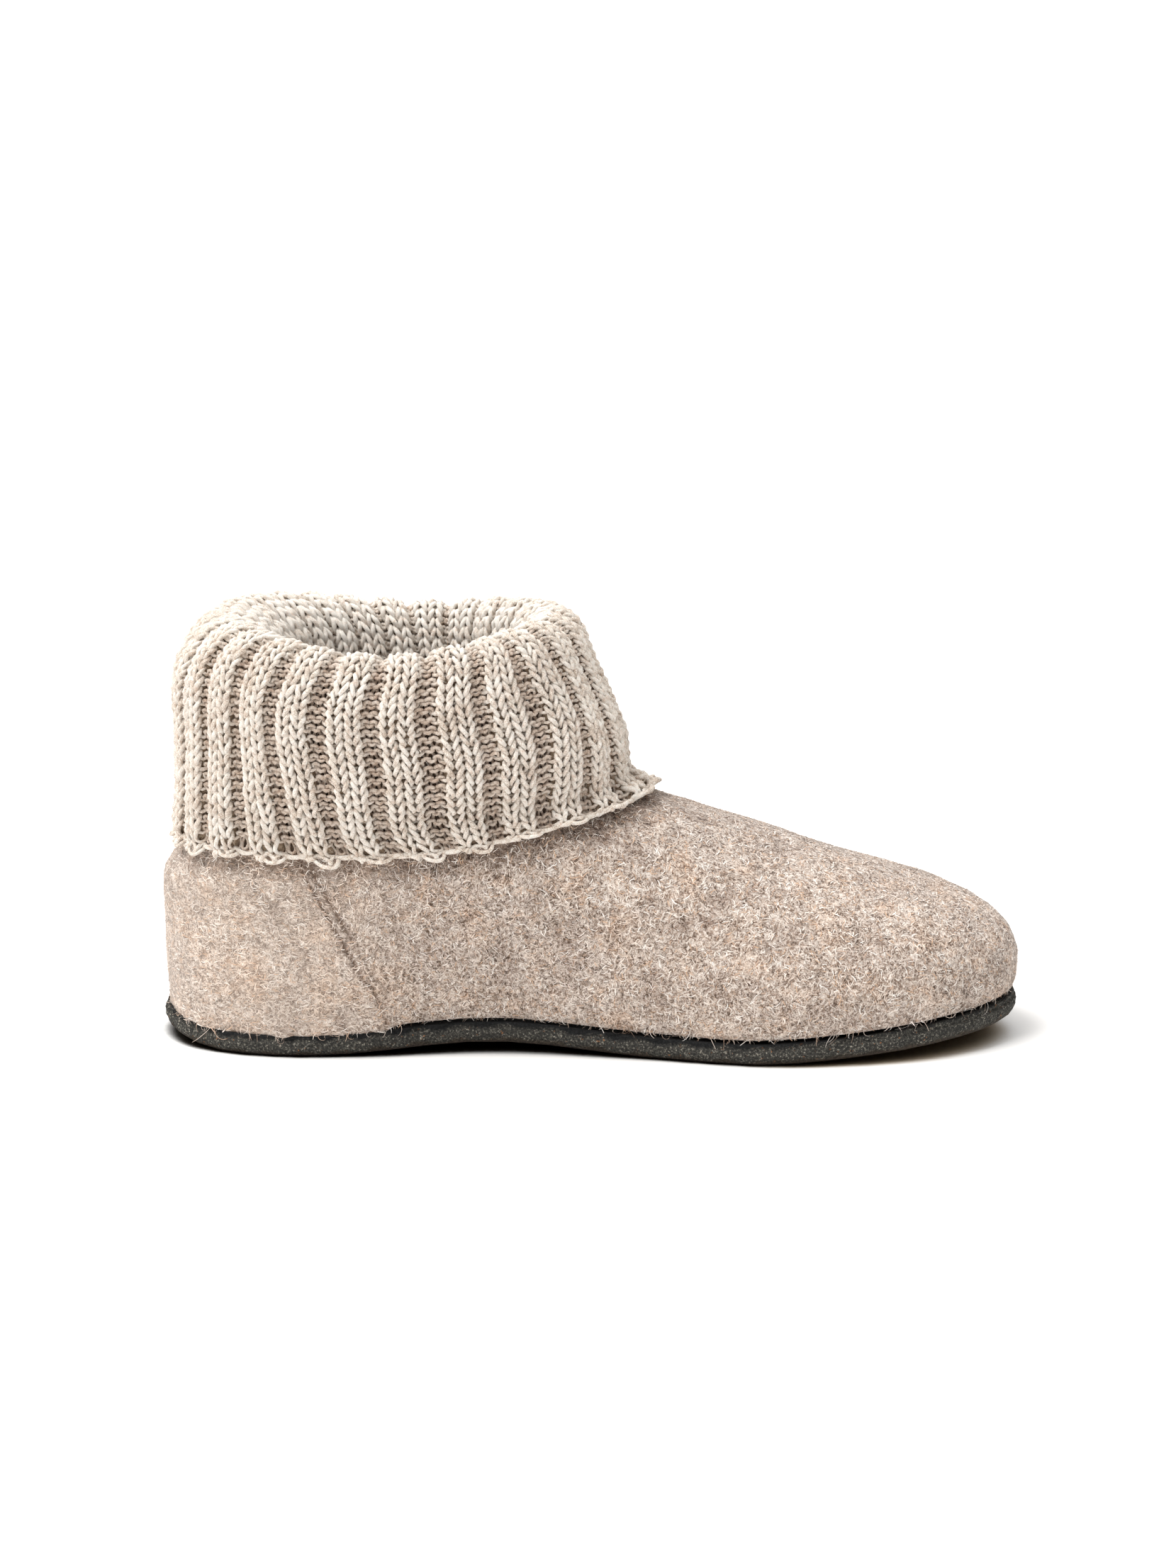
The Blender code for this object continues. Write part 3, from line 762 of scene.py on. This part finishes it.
# %% Courses as one piece
def yarn_piece(name, courses, sides):
    curve = bpy.data.curves.new(name, "CURVE")
    curve.dimensions = "3D"
    curve.bevel_depth = YARN_RADIUS
    curve.bevel_resolution = sides // 2 - 2
    numbers = []
    for places, radius, tone, valley in courses:
        spline = curve.splines.new("POLY")
        spline.points.add(len(places) - 1)
        spots = np.column_stack([places, np.ones(len(places))])
        spline.points.foreach_set("co", spots.astype(np.float32).ravel())
        spline.points.foreach_set("radius", radius.astype(np.float32))
        spline.use_cyclic_u = True
        along = np.cumsum(np.linalg.norm(places - np.roll(places, 1, axis=0), axis=1))
        numbers.append(np.column_stack([along, tone, valley]))
    only(placed(name, curve))
    bpy.ops.object.convert(target="MESH")
    thing = bpy.context.object
    mesh = thing.data
    per_point = np.repeat(np.concatenate(numbers), sides, axis=0)
    for label, values in zip(("yarn_along", "stitch", "valley"), per_point.T):
        add_numbers(mesh, label, values)
    angle = np.tile(2 * math.pi * np.arange(sides) / sides, len(per_point) // sides)
    circle = np.column_stack([np.cos(angle), np.sin(angle), 0 * angle])
    add_numbers(mesh, "yarn_round", circle, "FLOAT_VECTOR")
    mesh.shade_smooth()
    mesh.materials.clear()
    mesh.materials.append(yarn_finish)
    thing.name = name
    return thing


# %% Knit the cuff
LINING_POINTS = 8

# First course, course after the last, points in a stitch and sides of the yarn
CUFF_PIECES = {
    "cuff_skirt": (0, 12, POINTS_PER_STITCH, 6),
    "cuff_shoulder": (12, 22, POINTS_PER_STITCH, 6),
    "cuff_rim": (22, 30, POINTS_PER_STITCH, 6),
    "cuff_lining": (30, OUTER_COURSES + INNER_COURSES - 2, LINING_POINTS, 4),
}
cuff_pieces = []
for name, (first, after_last, points, sides) in CUFF_PIECES.items():
    piece = yarn_piece(name, [yarn_course(course, points) for course in range(first, after_last)], sides)
    cuff_pieces.append(finish_piece(piece, "cuff_knit", "knit_cuff"))

# %% [markdown]
# The hem is where the knitting was cast on. Nothing holds its strand tight: under each knit pair it
# hangs down in loops, dives behind the stitches between them, and crosses the valley almost straight.
# A second strand keeps it company. Each loop is a half sine between two places of the rib, uneven from
# rib to rib. Where a loop also swings backwards along the hem while it hangs, it closes to a ring.

# %% Cast-on edge
CAST_ON_POINTS = 10
CAST_ON_RADIUS = 0.80
CAST_ON_DEEPEST = -0.0026
LOOP_BACK, LOOP_OUT = -0.0006, 0.0013

# Course that the strand hangs from, then each loop's start and end in the rib, its droop in courses
# and how far it swings back along the hem, as a share of its width
CAST_ON_STRANDS = (
    (0.95, ((0.00, 0.22, 0.45, 0.25), (0.22, 0.66, 0.95, -0.08), (0.66, 1.00, 0.10, 0.0))),
    (1.10, ((0.04, 0.30, 0.75, 0.28), (0.38, 0.60, 0.70, 0.28), (0.60, 1.04, 0.25, 0.0))),
)


def cast_on_strand(hung, loops):
    stitch = np.arange(STITCHES * CAST_ON_POINTS) / CAST_ON_POINTS
    rib = (stitch / 4).astype(int)
    share = stitch / 4 - rib
    raised, _ = rib_relief(share, stitch * 0)
    up = np.full(len(stitch), hung)
    swing = np.zeros(len(stitch))
    moved = wander(STITCHES, 0.02, CAST_ON_POINTS)
    for start, end, droop, back in loops:
        here = (share >= start) & (share < end)
        along = (share[here] - start) / (end - start)
        arc = np.sin(math.pi * along) ** 0.8
        uneven = rng.uniform(0.55, 1.25, RIB_COUNT)[rib[here]]
        up[here] -= droop * uneven * arc
        swing[here] = LOOP_BACK + LOOP_OUT * arc
        moved[here] += back * (end - start) * np.sin(2 * math.pi * along)
    up += wander(STITCHES, 0.09, CAST_ON_POINTS)
    height = np.maximum(raised, CAST_ON_DEEPEST) + swing + wander(STITCHES, 0.0002, CAST_ON_POINTS)
    turn = leant(rib_turn((rib + share + moved) / RIB_COUNT), up)
    radius = CAST_ON_RADIUS + wander(STITCHES, 0.07, CAST_ON_POINTS)
    return on_cuff(turn, up, height), radius, np.repeat(rng.random(STITCHES), CAST_ON_POINTS), stitch * 0


cuff_edge = yarn_piece("cuff_cast_on_edge", [cast_on_strand(*strand) for strand in CAST_ON_STRANDS], 6)
finish_piece(cuff_edge, "cuff_knit")

# %% [markdown]
# Between the loops one looks into the shade of the yarns behind. A thin brown ground under the yarn
# is painted with that shade, darker in the purl valleys, so the felt never glints through the knitting.

# %% Ground under the yarn
GROUND_COLUMNS = 312
GROUND_START, GROUND_STEP = 1.0, 1.5
GROUND_SINK, GROUND_DEEPEST = 0.0011, -0.0044
GROUND_THICKNESS = 0.0005

ground_finish, tree, shader = new_material("shade_between_loops", seen(110, 92, 78))
wool = place_marl(tree, Grain=1500.0, Curl=900.0, Patch=190.0)
# Painted shade: darker in the purl valleys, lighter under the knit crests.
shade = ramp(tree, wool["Tone"], [(0.36, seen(50, 40, 32)), (0.62, seen(108, 90, 76))])
light = ramp(tree, wool["Tone"], [(0.36, seen(112, 94, 76)), (0.62, seen(178, 158, 136))])
surface(tree, shader, mixed(tree, carried(tree, "valley"), light, shade), roughness=1.0, gloss=0.1)

even = np.arange(GROUND_COLUMNS) / GROUND_COLUMNS
rows, valleys = [], []
for up in np.arange(GROUND_START, OUTER_COURSES + INNER_COURSES, GROUND_STEP):
    course = np.full(GROUND_COLUMNS, up)
    height, valley = rib_relief(even * RIB_COUNT % 1, course)
    height = np.maximum(height - GROUND_SINK, GROUND_DEEPEST)
    rows.append(on_cuff(leant(rib_turn(even), course), course, height))
    valleys.append(valley * (1 - 0.8 * closing(course)))
points = np.concatenate(rows)
index = np.arange(len(points)).reshape(len(rows), GROUND_COLUMNS)
right = np.roll(index, -1, axis=1)
faces = np.stack([index[:-1], right[:-1], right[1:], index[1:]], axis=-1).reshape(-1, 4)
cuff_ground = mesh_from_arrays("cuff_ground", points, faces, ground_finish)
add_numbers(cuff_ground.data, "valley", np.concatenate(valleys))
wall = cuff_ground.modifiers.new("wall", "SOLIDIFY")
wall.thickness = GROUND_THICKNESS
wall.offset = -1
only(cuff_ground)
bpy.ops.object.modifier_apply(modifier="wall")
finish_piece(cuff_ground, "cuff_knit")

# %% [markdown]
# The felt upper, the insole and the sole keep the form of their CAD solids. Each starts as a copy of
# its node's mesh, whose loose triangles are merged into one skin and paired into quads, because a
# subdivision surface needs to know its neighbours.

# %% Copies of CAD solids
def skin_copy(node, name, finish, levels, simple=False):
    thing = placed(name, NODES[node].data.copy())
    only(thing)
    bpy.ops.mesh.customdata_custom_splitnormals_clear()
    bpy.ops.object.mode_set(mode="EDIT")
    bpy.ops.mesh.select_all(action="SELECT")
    bpy.ops.mesh.remove_doubles(threshold=0.00002)
    bpy.ops.mesh.tris_convert_to_quads(face_threshold=math.radians(60), shape_threshold=math.radians(60))
    bpy.ops.mesh.mark_sharp(clear=True)
    bpy.ops.object.mode_set(mode="OBJECT")
    bpy.ops.object.shade_smooth()
    rounder = thing.modifiers.new("rounder", "SUBSURF")
    rounder.subdivision_type = "SIMPLE" if simple else "CATMULL_CLARK"
    rounder.levels = rounder.render_levels = levels
    bpy.ops.object.modifier_apply(modifier="rounder")
    thing.data.materials.clear()
    thing.data.materials.append(finish)
    return thing


def mesh_points(mesh):
    """The places and the normals of a mesh's points."""
    places, normals = np.zeros((2, len(mesh.vertices) * 3), np.float32)
    mesh.vertices.foreach_get("co", places)
    mesh.vertex_normals.foreach_get("vector", normals)
    return places.reshape(-1, 3).astype(float), normals.reshape(-1, 3).astype(float)


def set_points(mesh, places):
    mesh.vertices.foreach_set("co", places.astype(np.float32).ravel())
    mesh.update()


def lumps(places, size, seed, waves=24):
    """Smooth random lumps of about one size, between -1 and 1, from many slanted waves."""
    dice = np.random.default_rng(seed)
    total = np.zeros(len(places))
    for _ in range(waves):
        direction = dice.normal(size=3)
        direction *= 2 * math.pi / size / np.linalg.norm(direction) * dice.uniform(0.7, 1.3)
        total += np.sin(places @ direction + dice.uniform(0, 2 * math.pi))
    return total / math.sqrt(waves)


# %% [markdown]
# Felt is thick and holds soft dents rather than sharp folds. The wall moves as a whole, so the lumps
# push both of its faces the same way: outwards from the inside of the shoe.
# The side seam is a raised band, as in the CAD solid. The needle has pulled a line in on both sides
# of it, and painted shade darkens those lines. The line towards the toe fades half way down, and the one
# towards the heel reaches the sole. Heelwards of the seam the felt hangs a little lower, over the edge
# of the sole. Just under the hem the cuff's shadow is painted into the felt, by the same number.

# %% Height over the sole
from mathutils import Vector
from mathutils.bvhtree import BVHTree
from mathutils.kdtree import KDTree


def heights_over(node, upwards, places):
    """How far each place is above a node's top or underside: its four nearest points, seen in plan."""
    points, normals = mesh_points(NODES[node].data)
    facing = points[normals[:, 2] > 0.5] if upwards else points[normals[:, 2] < -0.5]
    tree = KDTree(len(facing))
    for index, point in enumerate(facing):
        tree.insert((point[0], point[1], 0), index)
    tree.balance()
    heights = np.zeros(len(places))
    for k, place in enumerate(places):
        near = tree.find_n((place[0], place[1], 0), 4)
        weight = np.array([1 / (distance + 0.0002) ** 2 for _, _, distance in near])
        heights[k] = place[2] - weight @ facing[[index for _, index, _ in near], 2] / weight.sum()
    return heights


# %% Seam, dents and the cuff's shade
cuff_tree = BVHTree.FromObject(cuff_ground, bpy.context.evaluated_depsgraph_get())

# Height over the floor and place along the shoe of the side seam, in metres
SEAM_LINE = ((0.012, -0.0612), (0.0206, -0.0647), (0.0273, -0.0692), (0.0444, -0.0784), (0.0603, -0.0865))
SEAM_HALF = 0.0016
LINE_WIDTH = 0.0009
LINE_DEPTH = 0.0007
HEM_SHADE = 0.75
HEM_SHADE_START, HEM_SHADE_END = 0.002, 0.012
HEM_LOWEST = 0.025
HANG_DROP = 0.0019
HANG_OUT = 0.0012
HANG_LOW, HANG_HIGH = 0.001, 0.006
HANG_FADE = 0.003

# The lines beside the seam: which side of it (1 towards the toe), strength at the sole, and the heights
# between which a line grows to its full strength
SEAM_SIDES = ((1, 0.30, 0.030, 0.045), (-1, 0.75, 0.020, 0.040))

# Soft dents in the felt: place along the shoe and over the floor, reach along and up, and depth
DENTS = (
    (-0.030, 0.040, 0.030, 0.014, 0.0008),
    (0.022, 0.034, 0.016, 0.020, 0.0007),
    (0.062, 0.046, 0.012, 0.016, 0.0006),
    (-0.104, 0.034, 0.014, 0.012, 0.0006),
)

# The point inside the shoe that a place is pushed away from, as shares of its own x, y and z
CORE = (0.75, 0.0, 0.30)


def outwards(places):
    return unit(places - places * CORE)


def from_cuff(places, asked, reach):
    """How far the asked places are from the cuff. The others, and those further off, get the reach."""
    distances = np.full(len(places), reach)
    for k in np.flatnonzero(asked):
        near = cuff_tree.find_nearest(Vector(places[k]), reach)
        if near[0] is not None:
            distances[k] = near[3]
    return distances


# %% Felt upper
BROAD_LUMPS, SMALL_LUMPS = 0.00035, 0.00016

felt_upper = skin_copy("felt_upper", "felt_shell", felt_finish, 2)
places, normals = mesh_points(felt_upper.data)
away = outwards(places)
outer = np.sum(away * normals, axis=1) > 0
swell = BROAD_LUMPS * lumps(places, 0.030, 3) + SMALL_LUMPS * lumps(places, 0.008, 4)
for dent_x, dent_z, reach_x, reach_z, depth in DENTS:
    off_x, off_z = (places[:, 0] - dent_x) / reach_x, (places[:, 2] - dent_z) / reach_z
    swell -= depth * np.exp(-(off_x**2) - off_z**2)
seam_z, seam_x = np.array(SEAM_LINE).T
from_seam = places[:, 0] - np.interp(places[:, 2], seam_z, seam_x)
crease = np.zeros(len(places))
# The lines beside the seam get painted shade as well as their dent.
for side, faint, low, high in SEAM_SIDES:
    line = np.exp(-(((from_seam - side * SEAM_HALF) / LINE_WIDTH) ** 2))
    crease += line * (faint + (1 - faint) * eased(places[:, 2], low, high))
crease = np.where(outer, np.clip(crease, 0, 1), 0)
swell -= LINE_DEPTH * crease
# Painted shade: the felt just under the cuff's hem is darkened by how near the cuff is.
cuff_distance = from_cuff(places, outer & (places[:, 2] > HEM_LOWEST), HEM_SHADE_END)
crease = np.maximum(crease, HEM_SHADE * (1 - eased(cuff_distance, HEM_SHADE_START, HEM_SHADE_END)))
above_sole = heights_over("outsole", True, places)
hang = eased(-from_seam, -HANG_FADE, HANG_FADE) * (1 - eased(above_sole, HANG_LOW, HANG_HIGH)) * outer
places += away * swell[:, None]
places[:, 2] -= HANG_DROP * hang
places[:, :2] += away[:, :2] * (HANG_OUT * hang)[:, None]
set_points(felt_upper.data, places)
add_numbers(felt_upper.data, "crease", crease)
finish_piece(felt_upper, "upper_felt", "felt_upper")

# %% Insole
insole = skin_copy("insole", "insole_pad", felt_finish, 1)
finish_piece(insole, "insole_felt", "insole")

# %% [markdown]
# The sole is a sheet of dark rubber with ground fibres in it, cut by hand. From the top down its side
# has three bands: black at the top, partly dark glue and partly painted shadow under the felt's edge,
# grey with pale and rusty crumbs where the blade tore it, and a browner rim at the floor. The bands wander,
# and the lower edge is lumpy.
# The mesh carries the height over the sole's underside as a share of its thickness, and the material
# mixes the bands by it.

# %% Sole material
sole_finish, tree, shader = new_material("speckled_dark_rubber", seen(66, 63, 59))
place = put(tree, "ShaderNodeTexCoord").outputs["Object"]
crumb = noise(tree, place, 1500.0, detail=4.0, roughness=0.75)
wobble = noise(tree, place, 600.0, detail=3.0)
up = number(tree, "SUBTRACT", carried(tree, "up_the_side"), 0.05)
up = number(tree, "MULTIPLY_ADD", wobble, 0.10, up)
torn = ramp(tree, crumb, [
    (0.36, seen(32, 32, 31)),
    (0.50, seen(58, 57, 53)),
    (0.59, seen(88, 86, 80)),
    (0.67, seen(176, 170, 156)),
])
rust = between(tree, noise(tree, place, 900.0, detail=2.0), 0.68, 0.74, top=0.8)
torn = mixed(tree, rust, torn, seen(160, 104, 60))
# The black top band is partly dark glue and partly painted shadow under the felt's edge.
glue_and_shadow_top = ramp(tree, crumb, [(0.40, seen(16, 17, 18)), (0.66, seen(42, 43, 43))])
rim = ramp(tree, crumb, [(0.40, seen(40, 35, 30)), (0.66, seen(84, 76, 66))])
colour = mixed(tree, between(tree, up, 0.06, 0.22), rim, torn)
colour = mixed(tree, between(tree, up, 0.62, 0.80), colour, glue_and_shadow_top)
surface(tree, shader, colour, roughness=0.88, gloss=0.25)
relief(tree, shader, crumb, strength=0.9, distance=0.0005)

# %% Sole
SOLE_THICKNESS = 0.0067
TOE_BAND_START, TOE_BAND_END = 0.030, 0.095
TOE_BAND_DROP = 0.18
CUT_WAVES, CUT_CRUMBS, CUT_NICKS = 0.00022, 0.00014, 0.0004

sole = skin_copy("outsole", "sole_sheet", sole_finish, 2, simple=True)
places, normals = mesh_points(sole.data)
up_the_side = heights_over("outsole", False, places) / SOLE_THICKNESS
at_toe = eased(places[:, 0], TOE_BAND_START, TOE_BAND_END)
side = eased(1 - np.abs(normals[:, 2]), 0.2, 0.7)
rough = CUT_WAVES * lumps(places, 0.0055, 5) + CUT_CRUMBS * lumps(places, 0.0024, 6)
lower_edge = side * (1 - eased(up_the_side, 0.0, 0.35))
rough -= CUT_NICKS * lower_edge * np.abs(lumps(places, 0.0035, 7))
set_points(sole.data, places + normals * (rough * side)[:, None])
add_numbers(sole.data, "up_the_side", up_the_side - TOE_BAND_DROP * at_toe * eased(up_the_side, 0.3, 0.7))
finish_piece(sole, "sole_rubber", "outsole")

# %% [markdown]
# Close up, wool is not a surface but a crowd of fibres. Noise in a material can't give their outline,
# so the fibres are made: short ribbons a quarter of a millimetre wide that lie on the felt in curls,
# finer ones that stand off the felt and the yarn and blur their edges, and a few long strays.
# All ribbons of a kind are worked out at once as arrays and become one mesh.

# %% Fibre helpers
ROOT_SINK = 0.00004


def fibre_piece(
    name, roots, normals, finish, slot, dice, length, width, curl, lift, stand=0.0, lay=1.0, hang=0.0, steps=3
):
    """Curled ribbons on a surface. lift raises their middles, stand one end, and hang turns it down."""
    count = len(roots)
    share = np.linspace(0, 1, steps + 1)
    heading = dice.normal(size=(count, 3)) * lay - (0, 0, hang)
    heading = unit(heading - normals * np.sum(heading * normals, axis=1)[:, None])
    across = np.cross(normals, heading)
    stride = length / steps * dice.uniform(0.5, 1.5, count)[:, None, None]
    turned = curl * dice.normal(size=count)[:, None]
    angle = (turned * ((share[1:] + share[:-1]) / 2 - 0.5))[..., None]
    moves = stride * (heading[:, None] * np.cos(angle) + across[:, None] * np.sin(angle))
    path = np.concatenate([np.zeros((count, 1, 3)), np.cumsum(moves, axis=1)], axis=1)
    rise = lift * dice.uniform(0.3, 1.2, count)[:, None] * np.sin(math.pi * share) - ROOT_SINK
    rise = rise + stand * dice.uniform(0.2, 1.2, count)[:, None] * share**1.4
    middle = roots[:, None] + path + normals[:, None] * rise[..., None]
    angle = (turned * (share - 0.5))[..., None]
    edge = across[:, None] * np.cos(angle) - heading[:, None] * np.sin(angle)
    half = width / 2 * dice.uniform(0.7, 1.3, count)[:, None] * np.sin(math.pi * (0.14 + 0.72 * share))
    edge = edge * half[..., None]
    points = np.stack([middle - edge, middle + edge], axis=2).reshape(-1, 3)
    index = np.arange(len(points)).reshape(count, steps + 1, 2)
    low, high = index[:, :-1], index[:, 1:]
    faces = np.stack([low[..., 0], high[..., 0], high[..., 1], low[..., 1]], axis=-1).reshape(-1, 4)
    thing = mesh_from_arrays(name, points, faces, finish)
    add_numbers(thing.data, "fibre", np.repeat(dice.random(count), (steps + 1) * 2))
    return finish_piece(thing, slot)


def samples(mesh, count, dice, kept):
    """Random places and normals, evenly spread over the faces that kept(middle, normal) picks."""
    points, _ = mesh_points(mesh)
    mesh.calc_loop_triangles()
    corners = np.zeros(len(mesh.loop_triangles) * 3, np.int32)
    mesh.loop_triangles.foreach_get("vertices", corners)
    a, b, c = (points[corners.reshape(-1, 3)[:, k]] for k in range(3))
    normal = np.cross(b - a, c - a)
    area = np.linalg.norm(normal, axis=1)
    normal /= np.maximum(area, 1e-12)[:, None]
    weight = area * kept((a + b + c) / 3, normal)
    pick = dice.choice(len(area), count, p=weight / weight.sum())
    s, t = dice.random((2, count, 1))
    s, t = np.where(s + t > 1, 1 - s, s), np.where(s + t > 1, 1 - t, t)
    return a[pick] + s * (b - a)[pick] + t * (c - a)[pick], normal[pick]


# %% Fibre materials
def fibre_material(name, stops, patched=False):
    made, tree, shader = new_material(name, stops[-1][1])
    wool = place_marl(tree, Grain=900.0, Curl=560.0, Patch=190.0)
    fibre = number(tree, "MULTIPLY_ADD", wool["Tint"], -0.22, carried(tree, "fibre"))
    colour = ramp(tree, fibre, stops)
    if patched:
        colour = felt_patches(tree, colour)
    surface(tree, shader, colour, roughness=0.9, gloss=0.2, sheen=0.2)
    return made


felt_fibre_finish = fibre_material("felt_fibre", [
    (0.00, seen(212, 180, 152)),
    (0.12, seen(206, 178, 158)),
    (0.16, seen(112, 92, 78)),
    (0.30, seen(152, 131, 116)),
    (0.45, seen(206, 190, 177)),
    (0.80, seen(238, 228, 219)),
    (1.00, seen(253, 249, 244)),
], patched=True)
yarn_fibre_finish = fibre_material("yarn_fibre", [
    (0.0, seen(214, 180, 150)),
    (0.2, seen(228, 212, 194)),
    (1.0, seen(252, 248, 240)),
])

# %% Fibres on the felt
FELT_FIBRES = 30000
HALO_FIBRES = 9000
FELT_STRAYS = 360
LOW_EDGE = 0.0115
TOE_RISE = 0.006
COVERED = 0.0019
COVERED_LOWEST = 0.045


def open_felt(middle, normal):
    """The outer face of the felt that the cuff doesn't cover."""
    shown = np.sum(outwards(middle) * normal, axis=1) > 0.15
    return shown & (from_cuff(middle, shown & (middle[:, 2] > COVERED_LOWEST), COVERED) >= COVERED)


fibre_dice = np.random.default_rng(29)
roots, out = samples(felt_upper.data, FELT_FIBRES, fibre_dice, open_felt)
at_heel = roots[:, 0] < np.interp(roots[:, 2], seam_z, seam_x)
lay = np.where(at_heel[:, None], (1.0, 1.0, 0.3), (1.0, 1.0, 1.0))
fibre_piece(
    "felt_fibres", roots, out, felt_fibre_finish, "upper_felt", fibre_dice,
    length=0.0022, width=0.00024, curl=1.5, lift=0.00022, lay=lay,
)
roots, out = samples(felt_upper.data, HALO_FIBRES, fibre_dice, open_felt)
fibre_piece(
    "felt_halo", roots, out, felt_fibre_finish, "upper_felt", fibre_dice,
    length=0.0018, width=0.00009, curl=1.8, lift=0.0003, stand=0.0012, steps=2,
)


def low_felt(middle, normal):
    """The edge of the felt over the sole, where long fibres have worked loose."""
    return open_felt(middle, normal) & (middle[:, 2] < LOW_EDGE + TOE_RISE * eased(middle[:, 0], 0.05, 0.13))


roots, out = samples(felt_upper.data, FELT_STRAYS, fibre_dice, low_felt)
fibre_piece(
    "felt_strays", roots, out, felt_fibre_finish, "upper_felt", fibre_dice,
    length=0.0060, width=0.00012, curl=3.5, lift=0.0006, stand=0.0014, hang=1.3, steps=8,
)

# %% Fibres on the yarn
YARN_FUZZ = 6000
YARN_STRAYS = 45
FUZZ_FORM = {"length": 0.0024, "width": 0.00007, "curl": 1.6, "lift": 0.0002, "stand": 0.0011, "steps": 2}
STRAY_FORM = {"length": 0.0060, "width": 0.00009, "curl": 3.0, "lift": 0.0004, "stand": 0.0016, "steps": 8}


def all_yarn(middle, normal):
    return np.ones(len(middle))


for piece in (*cuff_pieces[:3], cuff_edge):
    fuzz = YARN_FUZZ // 4 if piece is cuff_edge else YARN_FUZZ
    for kind, count, form in (("fuzz", fuzz, FUZZ_FORM), ("strays", YARN_STRAYS, STRAY_FORM)):
        roots, out = samples(piece.data, count, fibre_dice, all_yarn)
        name = piece.name.replace("cuff", kind)
        fibre_piece(name, roots, out, yarn_fibre_finish, "cuff_knit", fibre_dice, **form)
